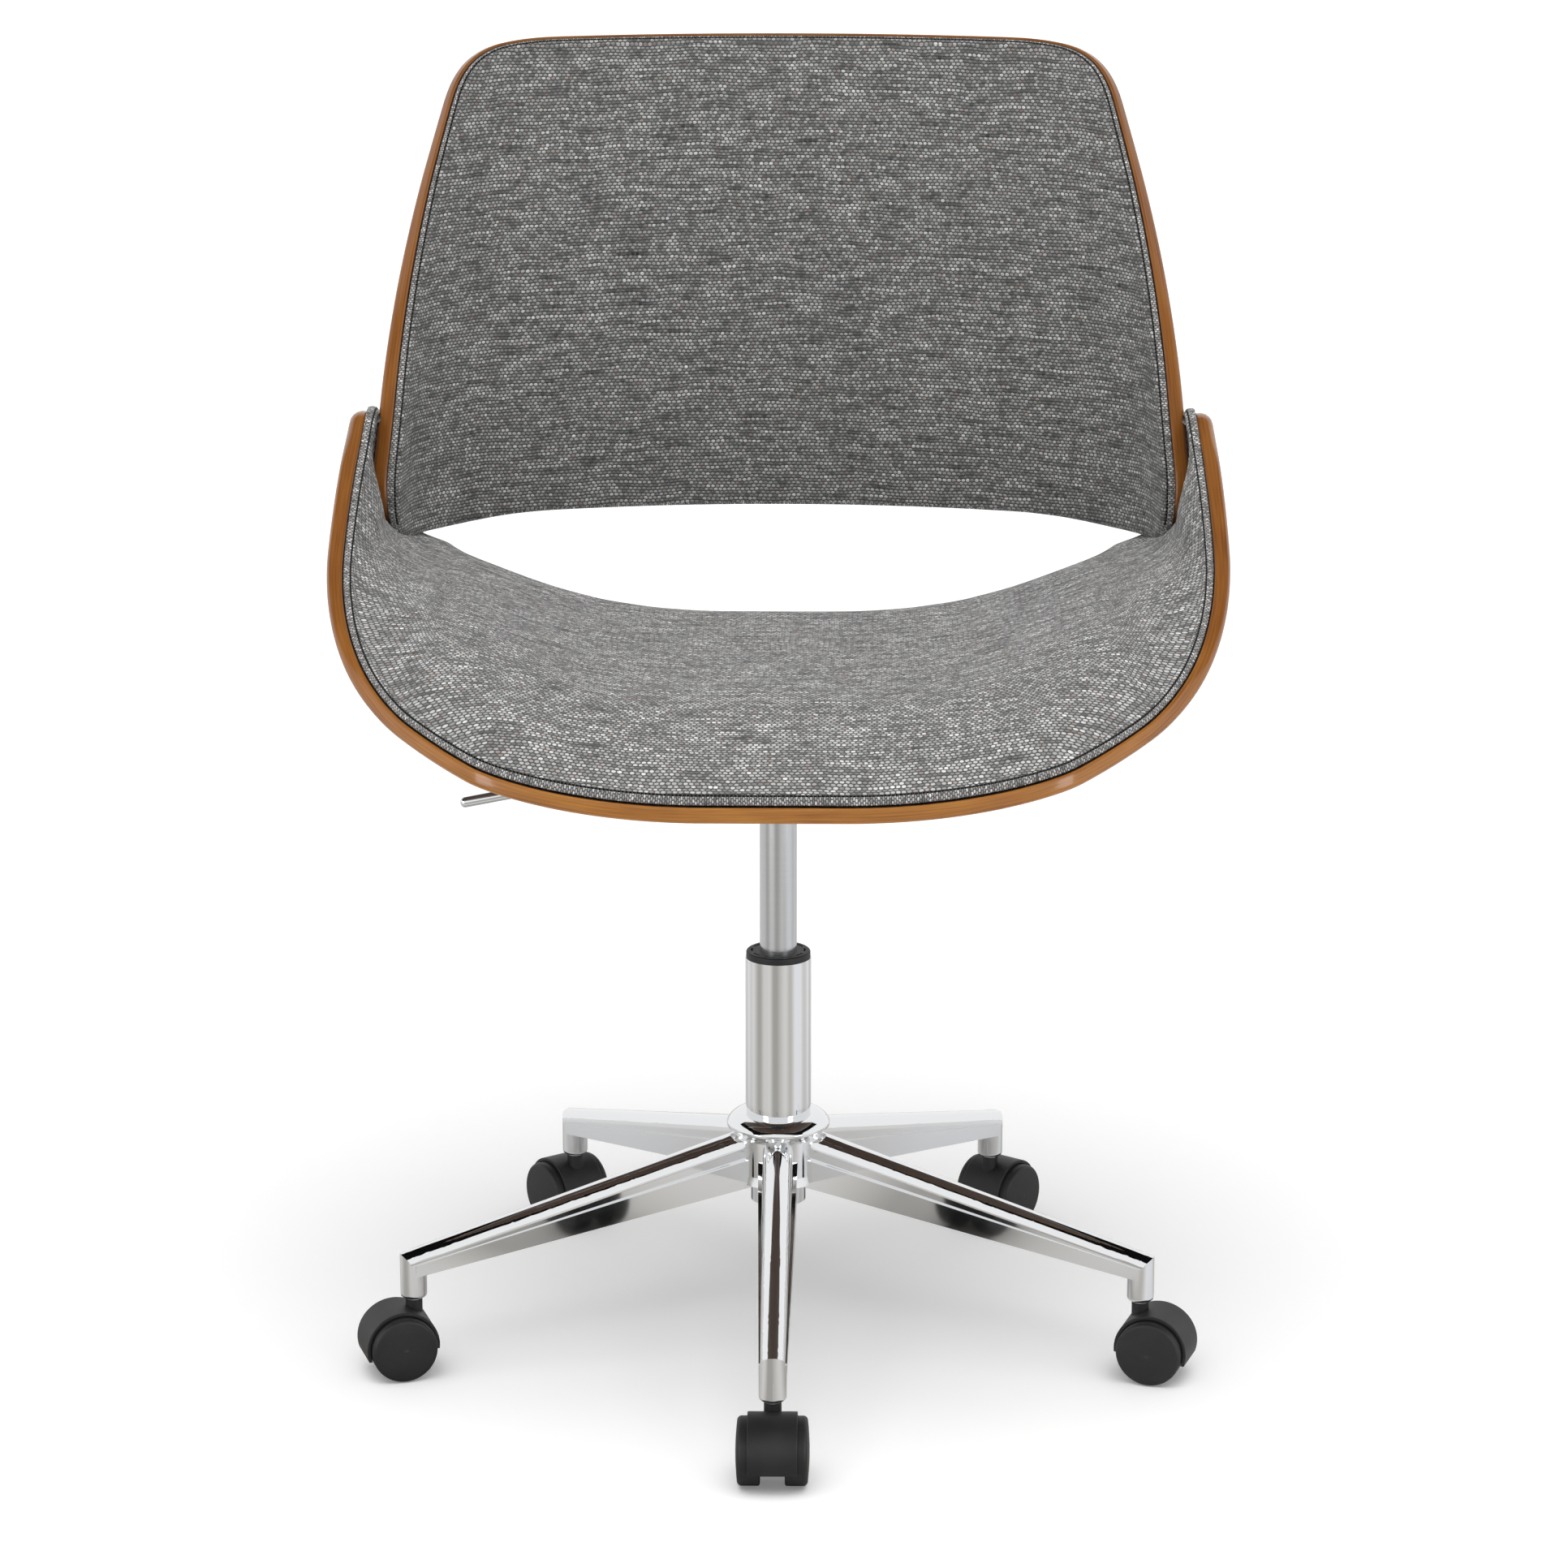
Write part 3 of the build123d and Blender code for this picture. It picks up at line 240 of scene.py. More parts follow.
def patch(points, flat, finish=0, closed=False, flip=False, held=0.0):
    """Grid of points with its flat coordinates; a closed patch joins its last row to its first.
    Held points are the ones that stay in place when the cloth solver runs."""
    rows, columns = points.shape[:2]
    index = np.arange(rows * columns).reshape(rows, columns)
    if closed:
        index = np.concatenate([index, index[:1]])
    corners = (index[:-1, :-1], index[:-1, 1:], index[1:, 1:], index[1:, :-1])
    quads = np.stack(corners, axis=-1).reshape(-1, 4)
    return {
        "points": points.reshape(-1, 3),
        "flat": flat.reshape(-1, 2),
        "quads": quads[:, ::-1] if flip else quads,
        "finish": np.broadcast_to(finish, (len(index) - 1, columns - 1)).reshape(-1),
        "held": np.broadcast_to(held, (rows, columns)).reshape(-1),
    }


def make_piece(name, patches, finishes):
    """Mesh object from patches: points, faces, flat coordinates and finishes, merged where the
    patches meet. All such pieces belong to the seat."""
    starts = np.cumsum([0] + [len(p["points"]) for p in patches])
    points = np.concatenate([p["points"] for p in patches]) / 1000
    quads = np.concatenate([p["quads"] + start for p, start in zip(patches, starts)])
    flat = np.concatenate([p["flat"] for p in patches]) / 1000
    finish = np.concatenate([p["finish"] for p in patches])
    held = np.concatenate([p["held"] for p in patches])
    mesh = bpy.data.meshes.new(name)
    mesh.from_pydata(points.tolist(), [], quads.tolist())
    mesh.uv_layers.new(name="flat")
    mesh.uv_layers["flat"].data.foreach_set("uv", flat[quads.ravel()].ravel().astype(np.float32))
    mesh.polygons.foreach_set("material_index", finish.astype(np.int32))
    mesh.polygons.foreach_set("use_smooth", np.ones(len(quads), bool))
    if held.any():
        mesh.attributes.new("held", "FLOAT", "POINT")
        mesh.attributes["held"].data.foreach_set("value", held.astype(np.float32))
    merge = bmesh.new()
    merge.from_mesh(mesh)
    bmesh.ops.remove_doubles(merge, verts=merge.verts, dist=MERGE)
    merge.to_mesh(mesh)
    merge.free()
    for finish in finishes:
        mesh.materials.append(finish)
    piece = bpy.data.objects.new(name, mesh)
    bpy.context.scene.collection.objects.link(piece)
    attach(piece, "seat")
    print(name, "faces:", len(mesh.polygons))
    return piece


# %% Outline loops and rims


def loop_of(along, first, second):
    """Closed outline on the flat: out along the first limit and back along the second."""
    out = np.stack([along, first], axis=-1)
    home = np.stack([along, second], axis=-1)[-2:0:-1]
    return np.concatenate([out, home])


def moved_in(loop, amount):
    """Outline moved towards its inside by an amount, square to its own direction."""
    ahead = np.roll(loop, -1, axis=0) - np.roll(loop, 1, axis=0)
    inward = np.stack([-ahead[:, 1], ahead[:, 0]], axis=-1)
    inward = inward / np.linalg.norm(inward, axis=-1, keepdims=True)
    return loop + inward * np.asarray(amount)[..., None]


def split(loop):
    """The two limits of a closed outline, as two rows of points from its left tip to its right."""
    count = len(loop) // 2 + 1
    home = np.concatenate([loop[:1], loop[:count - 2:-1]])
    return loop[:count], home


def between(loop, shares):
    """Grid of points on the flat that fills an outline from its first limit to its second."""
    first, second = split(loop)
    shares = np.asarray(shares)[None, :, None]
    return first[:, None] * (1 - shares) + second[:, None] * shares


def run_of(loop):
    """Distance gone along a closed outline at each of its points."""
    steps = np.linalg.norm(np.roll(loop, -1, axis=0) - loop, axis=-1)
    return np.concatenate([[0], np.cumsum(steps)[:-1]])


# %% [markdown]
# ## Finishes
#
# Each finish is a small node tree on the standard surface shader. Values that hold all over the
# surface are set on the shader itself, and only what varies comes from nodes: grain, weave, fine
# scratches, and the roughness that goes with them.

# %% Node helpers


class Finish:
    """A material with short ways to add nodes and join them."""

    def __init__(self, name, **constants):
        self.material = bpy.data.materials.new(name)
        self.material.use_nodes = True
        self.tree = self.material.node_tree
        self.shader = self.tree.nodes["Principled BSDF"]
        for socket, value in constants.items():
            self.shader.inputs[socket.replace("_", " ")].default_value = value

    def node(self, kind, *inputs, **settings):
        made = self.tree.nodes.new(kind)
        for key, value in settings.items():
            setattr(made, key, value)
        for index, value in enumerate(inputs):
            if isinstance(value, bpy.types.NodeSocket):
                self.tree.links.new(value, made.inputs[index])
            elif value is not None:
                made.inputs[index].default_value = value
        return made

    def math(self, operation, *inputs):
        return self.node("ShaderNodeMath", *inputs, operation=operation).outputs[0]

    def vector(self, operation, *inputs):
        return self.node("ShaderNodeVectorMath", *inputs, operation=operation).outputs[0]

    def where(self, source):
        return self.node("ShaderNodeTexCoord").outputs[source]

    def stretched(self, vector, scale):
        return self.node("ShaderNodeMapping", vector, None, None, scale).outputs[0]

    def noise(self, vector, scale, detail=2.0):
        made = self.node("ShaderNodeTexNoise", vector)
        made.inputs["Scale"].default_value = scale
        made.inputs["Detail"].default_value = detail
        return made.outputs["Fac"]

    def ramp(self, factor, *stops):
        made = self.node("ShaderNodeValToRGB", factor)
        elements = made.color_ramp.elements
        while len(elements) < len(stops):
            elements.new(0.5)
        for element, (position, colour) in zip(elements, stops):
            element.position = position
            element.color = (*colour, 1.0)
        return made.outputs["Color"]

    def span(self, factor, low, high):
        """Value that goes from low to high as the factor goes from 0 to 1."""
        return self.math("MULTIPLY_ADD", factor, high - low, low)

    def off_centre(self, place):
        """Distance from the middle of a place's cell, from 0 to 0.5."""
        return self.math("ABSOLUTE", self.span(self.math("FRACT", place), -0.5, 0.5))

    def tint(self, first, second, factor, blend="MIX"):
        """Two colours, blended by the factor."""
        made = self.node("ShaderNodeMix", data_type="RGBA", blend_type=blend)
        sockets = (made.inputs[6], made.inputs[7], made.inputs[0])
        for socket, value in zip(sockets, (first, second, factor)):
            if isinstance(value, bpy.types.NodeSocket):
                self.tree.links.new(value, socket)
            else:
                socket.default_value = value
        return made.outputs[2]

    def bump(self, height, distance, strength=1.0):
        made = self.node("ShaderNodeBump")
        made.inputs["Strength"].default_value = strength
        made.inputs["Distance"].default_value = distance
        self.tree.links.new(height, made.inputs["Height"])
        self.drive("Normal", made.outputs[0])

    def drive(self, socket, output):
        self.tree.links.new(output, self.shader.inputs[socket])

    def colour(self, factor, *stops):
        self.drive("Base Color", self.ramp(factor, *stops))


# %% [markdown]
# ## Metal and plastic
#
# Chrome is a clear mirror, so its look comes from what stands around it, and the finish adds only
# a faint haze. The thinner tube is drawn steel with fine marks that run round it. The casters and
# the bush are moulded plastic with a fine leathery grain.

# %% Chrome, steel and plastic


def chrome_finish():
    made = Finish("chrome_plating", Metallic=1.0, Base_Color=(0.80, 0.81, 0.82, 1))
    haze = made.noise(made.where("Object"), 55.0, 4.0)
    made.drive("Roughness", made.span(haze, 0.035, 0.085))
    made.bump(made.noise(made.where("Object"), 14.0, 1.0), 0.0002, 0.12)
    return made.material


def drawn_steel_finish():
    made = Finish("drawn_steel", Metallic=1.0, Anisotropic=0.4)
    rings = made.noise(made.stretched(made.where("Object"), (4.0, 4.0, 900.0)), 1.0, 3.0)
    made.colour(rings, (0.3, (0.57, 0.585, 0.60)), (0.7, (0.63, 0.645, 0.66)))
    made.drive("Roughness", made.span(rings, 0.2, 0.3))
    made.bump(rings, 0.00002, 0.3)
    return made.material


def bolt_steel_finish():
    made = Finish("zinc_steel", Metallic=1.0)
    patches = made.noise(made.where("Object"), 160.0, 5.0)
    made.colour(patches, (0.3, (0.42, 0.42, 0.43)), (0.75, (0.60, 0.60, 0.62)))
    made.drive("Roughness", made.span(patches, 0.28, 0.5))
    return made.material


def painted_finish():
    made = Finish("black_powder_coat")
    grains = made.noise(made.where("Object"), 1400.0, 2.0)
    made.colour(grains, (0.3, (0.012, 0.012, 0.013)), (0.8, (0.03, 0.03, 0.031)))
    made.drive("Roughness", made.span(grains, 0.4, 0.62))
    made.bump(grains, 0.00012, 0.5)
    return made.material


def moulded_finish():
    made = Finish("moulded_plastic", Specular_IOR_Level=0.45)
    place = made.where("Object")
    leather = made.node("ShaderNodeTexVoronoi", place, feature="DISTANCE_TO_EDGE")
    leather.inputs["Scale"].default_value = 950.0
    grains = made.math("MINIMUM", leather.outputs["Distance"], 0.25)
    cloud = made.noise(place, 45.0, 4.0)
    made.colour(cloud, (0.3, (0.008, 0.008, 0.0085)), (0.75, (0.016, 0.016, 0.017)))
    made.drive("Roughness", made.span(cloud, 0.42, 0.6))
    made.bump(grains, 0.00025, 0.55)
    return made.material


def rubber_finish():
    made = Finish("buffer_rubber")
    cloud = made.noise(made.where("Object"), 120.0, 4.0)
    made.colour(cloud, (0.3, (0.016, 0.016, 0.016)), (0.7, (0.035, 0.034, 0.033)))
    made.drive("Roughness", made.span(cloud, 0.6, 0.85))
    return made.material


chrome = chrome_finish()
drawn_steel = drawn_steel_finish()
bolt_steel = bolt_steel_finish()
painted = painted_finish()
moulded = moulded_finish()
rubber = rubber_finish()

# %% Give the frame's own nodes their finishes
NODE_FINISHES = {
    "star_base": chrome,
    "outer_column": chrome,
    "release_lever": chrome,
    "caster_sleeves": drawn_steel,
    "pressure_tube": drawn_steel,
    "column_bush": moulded,
    "seat_plate": painted,
    "rubber_buffer": rubber,
}
for name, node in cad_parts.items():
    plain = moulded if name.endswith(("_hood", "_wheel_a", "_wheel_b")) else bolt_steel
    for slot in node.material_slots:
        slot.material = NODE_FINISHES.get(name, plain)
print("finished", len(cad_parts), "nodes")

# %% [markdown]
# ## Walnut plywood
#
# The faces are dark walnut veneer, and the cut edge is stained a warmer brown, all under clear
# lacquer. On the face the grain is long streaks of noise. On the edge, the flat coordinates hold
# the depth through the sheet, so the plies show as faint stripes of that depth. The edge's colour
# grows darker with height.

# %% Veneer and ply edge
PLIES = 9
# Tint that the plywood edge passes into as it rises, and the two heights in metres between which it
# does.
HIGH_EDGE_DARKENING = (0.62, 0.56, 0.60, 1)
DARKENING_LOW, DARKENING_HIGH = 0.47, 0.58


def veneer_finish():
    made = Finish("walnut_veneer", Coat_Weight=0.35, Coat_Roughness=0.12)
    flat = made.where("UV")
    streaks = made.noise(made.stretched(flat, (90.0, 4.0, 1.0)), 1.0, 6.0)
    pores = made.noise(made.stretched(flat, (810.0, 36.0, 1.0)), 1.0, 2.0)
    tone = made.ramp(
        streaks,
        (0.28, (0.022, 0.009, 0.004)),
        (0.5, (0.050, 0.021, 0.009)),
        (0.72, (0.092, 0.042, 0.018)),
    )
    specks = made.ramp(pores, (0.36, (0.45, 0.42, 0.40)), (0.5, (1.0, 1.0, 1.0)))
    made.drive("Base Color", made.tint(tone, specks, 0.6, "MULTIPLY"))
    made.drive("Roughness", made.span(streaks, 0.34, 0.5))
    made.bump(pores, 0.0001, 0.3)
    return made.material


def ply_edge_finish():
    made = Finish("plywood_edge", Coat_Weight=0.7, Coat_Roughness=0.14, Specular_IOR_Level=0.3)
    flat = made.where("UV")
    parts = made.node("ShaderNodeSeparateXYZ", flat)
    ply = made.math("MULTIPLY", parts.outputs[1], PLIES * 1000 / PLY)
    wander = made.noise(made.stretched(flat, (14.0, 60.0, 1.0)), 1.0, 3.0)
    turn = made.math("PINGPONG", made.math("ADD", ply, made.span(wander, -0.35, 0.35)), 1.0)
    streaks = made.noise(made.stretched(flat, (22.0, 900.0, 1.0)), 1.0, 4.0)
    patches = made.noise(made.stretched(flat, (13.0, 90.0, 1.0)), 1.0, 2.0)
    stain = made.math("MULTIPLY_ADD", streaks, 0.5, made.math("MULTIPLY", patches, 0.42))
    tone = made.ramp(
        made.math("MULTIPLY_ADD", turn, 0.08, stain),
        (0.28, (0.235, 0.074, 0.008)),
        (0.5, (0.420, 0.158, 0.017)),
        (0.72, (0.555, 0.238, 0.036)),
    )
    height = made.node("ShaderNodeSeparateXYZ", made.where("Object")).outputs[2]
    # The edge colour grows darker with height, between the two heights above.
    shade = made.node("ShaderNodeMapRange", height, DARKENING_LOW, DARKENING_HIGH, 1.0, 0.0).outputs[0]
    made.drive("Base Color", made.tint(made.tint(tone, HIGH_EDGE_DARKENING, 1.0, "MULTIPLY"), tone, shade))
    made.drive("Roughness", made.span(streaks, 0.34, 0.5))
    made.bump(streaks, 0.00006, 0.25)
    return made.material


veneer = veneer_finish()
ply_edge = ply_edge_finish()

# %% [markdown]
# ## The two shells
#
# A shell is two faces and the rim between them. The rim is a profile carried round the outline: a
# straight cut with both its corners rounded off by hand, which is what catches the light on the
# real chair. The tips of the seat's wings are rounded off more on the outside, where a hand rests.

# %% Shell builder
OUTER_ROUND = 4.5
INNER_ROUND = 1.8
TIP_ROUND = 9.0
TIP_ROUND_SPAN = (662.0, 25.0)
SHELL_SHARES = np.linspace(0, 1, 33)


def smooth(value, start, length):
    """Passage from 0 to 1 that starts and ends level, over a length from the start."""
    share = np.clip((value - start) / length, 0, 1)
    return share * share * (3 - 2 * share)


def toward(first, last, value, start, length):
    """First amount, which passes into the last one over a length from the start."""
    return first + (last - first) * smooth(value, start, length)


def quarter(radius, steps=6):
    """Inset and depth of a rounded corner, for each radius, from the face to the cut edge."""
    angle = np.linspace(0, math.pi / 2, steps)
    radius = np.asarray(radius)[:, None]
    return radius * (1 - np.sin(angle)), radius * (1 - np.cos(angle))


def shell_patches(place, loop, outer_round):
    """Outside, inside and rim of a shell, with its own outer rounding at each outline point."""
    inset_out, depth_out = quarter(outer_round)
    inset_in, depth_in = quarter(np.full(len(loop), INNER_ROUND))
    inset = np.concatenate([inset_out, inset_in[:, ::-1]], axis=1)
    depth = np.concatenate([depth_out, PLY - depth_in[:, ::-1]], axis=1)
    rows = np.stack([moved_in(loop, amount) for amount in inset.T], axis=1)
    rim = place(rows[..., 0], rows[..., 1], depth)
    around = np.broadcast_to(run_of(loop)[:, None], depth.shape)
    outer, inner = between(rows[:, 0], SHELL_SHARES), between(rows[:, -1], SHELL_SHARES)
    outside = place(outer[..., 0], outer[..., 1], np.zeros(outer.shape[:2]))
    inside = place(inner[..., 0], inner[..., 1], np.full(inner.shape[:2], PLY))
    return [
        patch(outside, outer),
        patch(inside, inner, flip=True),
        patch(rim, np.stack([around, depth], axis=-1), 1, closed=True, flip=True),
    ]


seat_loop = loop_of(seat_along, seat_front, seat_rear)
seat_round = toward(OUTER_ROUND, TIP_ROUND, seat_height(seat_loop[:, 0]), *TIP_ROUND_SPAN)
seat_shell = make_piece(
    "seat_plywood",
    shell_patches(seat_point, seat_loop, seat_round),
    [veneer, ply_edge],
)
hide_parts("seat_shell")

back_loop = loop_of(back_along, back_low, back_high)
back_round = np.full(len(back_loop), OUTER_ROUND)
back_shell = make_piece(
    "back_plywood",
    shell_patches(back_point, back_loop, back_round),
    [veneer, ply_edge],
)
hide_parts("back_shell")

# %% [markdown]
# ## Tweed
#
# The cover is woven from a thick light weft over a thinner dark warp. The weft shows as short
# floats, set like bricks, each row half a float on from the row below. Between two floats of a row
# the warp shows, and between the rows there is a gap, painted near black as shade in the recess
# between the rows. Every float has its own grey, whole rows are thicker and lighter where the yarn
# is, and the rows wander a little.

# %% Weave
WANDERS = ((26.0, 0.0045), (420.0, 0.0009))
ROW_CHANCE = 0.2
FLOAT_HALF_LENGTH = 0.39
FLOAT_HALF_HEIGHT = (0.34, 0.52)
FLOAT_POWER = 2.6
SLUB_SCALE = (0.11, 0.71, 1.0)
FIBRE_ALONG, FIBRE_ACROSS = 1100.0, 2400.0
FLOAT_GREYS = (0.5, 1.5)
SLUB_GREYS = (-0.35, 2.35)
FIBRE_GREYS = (0.62, 1.38)
FLECK_ABOVE, FLECK_MIX, FLECK_TONE = 0.955, 0.55, (0.95, 0.72, 0.66)
# Painted shade: the near-black tone of the recess between rows of floats.
GAP_SHADE_TONE = (0.020, 0.020, 0.019, 1)
WARP_TONE = (0.12, 0.118, 0.115, 1)
WARP_HILL = 0.45
STITCH = 2.8


def tweed_finish(name, pitch, row_height, tone, turned=False):
    """Woven wool: pitch and row height in millimetres, tone as the mean grey of the floats. Turned
    rows stand upright."""
    made = Finish(
        name, Roughness=0.92, Sheen_Weight=0.2, Sheen_Roughness=0.5, Specular_IOR_Level=0.2
    )
    flat = made.where("UV")
    bent = flat
    for scale, size in WANDERS:
        cause = made.node("ShaderNodeTexNoise", flat)
        cause.inputs["Scale"].default_value = scale
        shift = made.vector("ADD", cause.outputs["Color"], (-0.5, -0.5, -0.5))
        bent = made.vector("ADD", bent, made.vector("MULTIPLY", shift, (size, size, 0.0)))
    parts = made.node("ShaderNodeSeparateXYZ", bent)
    length, rise = parts.outputs[0], parts.outputs[1]
    fibre_scale = (FIBRE_ALONG, FIBRE_ACROSS, 1.0)
    if turned:
        length, rise = rise, length
        fibre_scale = (FIBRE_ACROSS, FIBRE_ALONG, 1.0)

    v = made.math("MULTIPLY", rise, 1000 / row_height)
    row = made.math("FLOOR", v)
    row_chance = made.node("ShaderNodeTexWhiteNoise", None, row, noise_dimensions="1D")
    stagger = made.math("MULTIPLY", made.math("FLOORED_MODULO", row, 2.0), 0.5)
    stagger = made.math("MULTIPLY_ADD", row_chance.outputs["Value"], ROW_CHANCE, stagger)
    u = made.math("MULTIPLY_ADD", length, 1000 / pitch, stagger)
    off_u, off_v = made.off_centre(u), made.off_centre(v)
    cell = made.node("ShaderNodeCombineXYZ", made.math("FLOOR", u), row, 0.0).outputs[0]
    chance = made.node("ShaderNodeTexWhiteNoise", cell, noise_dimensions="2D")
    slub = made.noise(made.stretched(cell, SLUB_SCALE), 1.0, 2.0)
    fibre = made.noise(made.stretched(flat, fibre_scale), 1.0, 3.0)

    half_height = made.span(slub, *FLOAT_HALF_HEIGHT)
    far_u = made.math("POWER", made.math("DIVIDE", off_u, FLOAT_HALF_LENGTH), FLOAT_POWER)
    far_v = made.math("POWER", made.math("DIVIDE", off_v, half_height), FLOAT_POWER)
    far = made.math("ADD", far_u, far_v)
    float_cover = made.node("ShaderNodeMapRange", far, 1.25, 0.7, 0.0, 1.0).outputs[0]
    float_hill = made.math("SQRT", made.math("MAXIMUM", made.math("SUBTRACT", 1.15, far), 0.0))
    warp_cover = made.node("ShaderNodeMapRange", off_u, 0.28, 0.42, 0.0, 1.0).outputs[0]

    lightness = made.span(chance.outputs["Value"], *FLOAT_GREYS)
    for factor in (made.span(slub, *SLUB_GREYS), made.span(fibre, *FIBRE_GREYS), tone):
        lightness = made.math("MULTIPLY", lightness, factor)
    green = made.math("MULTIPLY", lightness, 0.99)
    blue = made.math("MULTIPLY", lightness, 0.975)
    weft = made.node("ShaderNodeCombineColor", lightness, green, blue).outputs[0]
    pick = made.node("ShaderNodeSeparateColor", chance.outputs["Color"]).outputs[1]
    fleck = made.math("MULTIPLY", made.math("GREATER_THAN", pick, FLECK_ABOVE), FLECK_MIX)
    weft = made.tint(weft, (*(tone * part for part in FLECK_TONE), 1), fleck)
    # Under the floats: the warp's own dark colour between floats, and painted shade in the gaps
    # between rows.
    under = made.tint(GAP_SHADE_TONE, WARP_TONE, warp_cover)
    made.drive("Base Color", made.tint(under, weft, float_cover))
    hill = made.math("MAXIMUM", float_hill, made.math("MULTIPLY", warp_cover, WARP_HILL))
    made.bump(made.math("MULTIPLY_ADD", fibre, 0.2, hill), 0.0009, 0.8)
    return made.material


def seam_shade_finish():
    """Deep side of the seam: painted dark as shade in the groove, and painted darkest as shade at
    the needle holes.
    """
    made = Finish("seam_groove_shade", Roughness=0.95, Specular_IOR_Level=0.1)
    parts = made.node("ShaderNodeSeparateXYZ", made.where("UV"))
    place = made.math("FRACT", made.math("MULTIPLY", parts.outputs[0], 1000 / STITCH))
    hole_shade = made.math("ABSOLUTE", made.span(place, -1.0, 1.0))
    # Painted shade: near black in the needle holes, dark grey over the rest of the groove.
    made.colour(hole_shade, (0.25, (0.012, 0.012, 0.012)), (0.65, (0.075, 0.073, 0.071)))
    return made.material


def thread_finish():
    made = Finish("seam_thread", Roughness=0.7, Sheen_Weight=0.2)
    twist = made.noise(made.where("Object"), 2600.0, 2.0)
    made.colour(twist, (0.3, (0.030, 0.029, 0.028)), (0.7, (0.075, 0.073, 0.071)))
    return made.material


# The back has the same tweed as the seat, with a darker tone (0.325 against 0.45): painted shade
# for the less light that the upright back gets.
back_tweed_shaded = tweed_finish("grey_tweed_back_shaded", 3.8, 2.5, 0.325)
seat_tweed = tweed_finish("grey_tweed_seat", 4.2, 2.6, 0.45)
boxing_tweed = tweed_finish("grey_tweed_boxing", 3.5, 1.7, 0.48, turned=True)
seam_groove_shade = seam_shade_finish()
thread = thread_finish()

# %% [markdown]
# ## Upholstered pads
#
# A pad is foam glued to the plywood, under a cover sewn from a large top panel and a narrow boxing
# strip. The shape starts as the strip carried round the outline, a groove where the seam pulls in,
# and the panel as a crowned grid. Where an edge has no seam, the groove is left out and the cover
# turns over the foam. The cloth solver then blows the cover up a little from inside, which pulls
# the panel tight between its seams, and the result is kept as the mesh.

# %% Pad builder
BOXING = 6.2
RIM_SHARES = np.array([0.0, 0.25, 0.5, 0.8, 1.0, 1.0, 1.0, 1.0, 1.0, 1.0, 1.0, 1.0])
SEWN_INSETS = np.array([0.5, 0.1, 0.0, 0.1, 0.2, 0.6, 2.4, 2.9, 1.6, 2.2, 3.6, 5.8])
SEWN_RISES = np.array([0.0, 0.0, 0.0, 0.0, -1.1, -0.5, -1.8, -1.3, 0.5, 1.3, 2.1, 2.6])
TURNED_INSETS = np.array([0.5, 0.1, 0.0, 0.1, 0.2, 0.5, 0.9, 1.4, 2.0, 2.8, 4.0, 5.8])
TURNED_RISES = np.array([0.0, 0.0, 0.0, 0.0, -1.6, -0.8, -0.2, 0.4, 0.9, 1.5, 2.1, 2.6])
SEAM_START, SEAM_END = 5, 8
ROLL = SEWN_RISES[-1]
PANEL_STATIONS = 241
PANEL_ROWS = 57
PANEL_TURN = np.linspace(0, math.pi, PANEL_ROWS)
PANEL_SHARES = 0.3 * (1 - np.cos(PANEL_TURN)) + 0.4 * np.linspace(0, 1, PANEL_ROWS)
FLOOR_SHARES = np.linspace(0, 1, 7)


def unrolled(face, points):
    """Flat coordinates of a panel, with the true distance over its far half, where it turns
    down."""
    steps = np.diff(face[..., 1], axis=1)
    half = steps.shape[1] // 2
    steps[:, half:] = np.linalg.norm(np.diff(points[:, half:], axis=1), axis=-1)
    run = face[:, :1, 1] + np.concatenate([0 * steps[:, :1], np.cumsum(steps, axis=1)], axis=1)
    return np.stack([face[..., 0], run], axis=-1)


def pad_patches(place, loop, strip, sewn, thickness, glued):
    """Strip, seam, rolled edge, panel and underside of a pad. The panel fills the outline and
    stands as high above the plywood as the thickness says; glued says which of it stays in place.
    Where the edge is not sewn, the cover turns over it in one piece."""
    sewn = sewn[:, None]
    inset = TURNED_INSETS + (SEWN_INSETS - TURNED_INSETS) * sewn
    rows = np.stack([moved_in(loop, amount) for amount in inset.T], axis=1)
    height = strip[:, None] * RIM_SHARES + TURNED_RISES + (SEWN_RISES - TURNED_RISES) * sewn
    side = place(rows[..., 0], rows[..., 1], PLY + height)
    steps = np.hypot(np.diff(inset, axis=1), np.diff(height, axis=1))
    profile = np.concatenate([0 * strip[:, None], np.cumsum(steps, axis=1)], axis=1)
    around = np.broadcast_to(run_of(loop)[:, None], height.shape)
    strip_side = side[:, : SEAM_END + 1]
    strip_flat = np.stack([around, profile], axis=-1)[:, : SEAM_END + 1]
    # Finish 2 is the seam groove, whose tweed is painted dark as shade.
    finish = np.where((np.arange(SEAM_END) < SEAM_START) | (sewn < 0.5), 1, 2)
    roll_side, roll_flat = side[:, SEAM_END:], rows[:, SEAM_END:]
    roll_held = glued(roll_flat)
    roll_held[:, 0] = 1.0
    face = between(rows[:, -1], PANEL_SHARES)
    panel = place(face[..., 0], face[..., 1], PLY + thickness(face))
    panel[:, 0], panel[:, -1] = split(side[:, -1])
    panel[[0, -1]] = panel[[0, -1], :1]
    under = between(rows[:, 0], FLOOR_SHARES)
    floor = place(under[..., 0], under[..., 1], np.full(under.shape[:2], PLY))
    return [
        patch(panel, unrolled(face, panel), 0, flip=True, held=glued(face)),
        patch(roll_side, roll_flat, 0, closed=True, flip=True, held=roll_held),
        patch(strip_side, strip_flat, finish, closed=True, flip=True, held=1.0),
        patch(floor, under, 1, held=1.0),
    ]


# %% Cloth solver
COVER_PRESSURE = 1.5
COVER_CAP = 0.005
COVER_STIFFNESS = 40
COVER_BENDING = 10
SOLVER_QUALITY = 5
SOLVER_FRAMES = 16
SPREAD_ROUNDS = 12


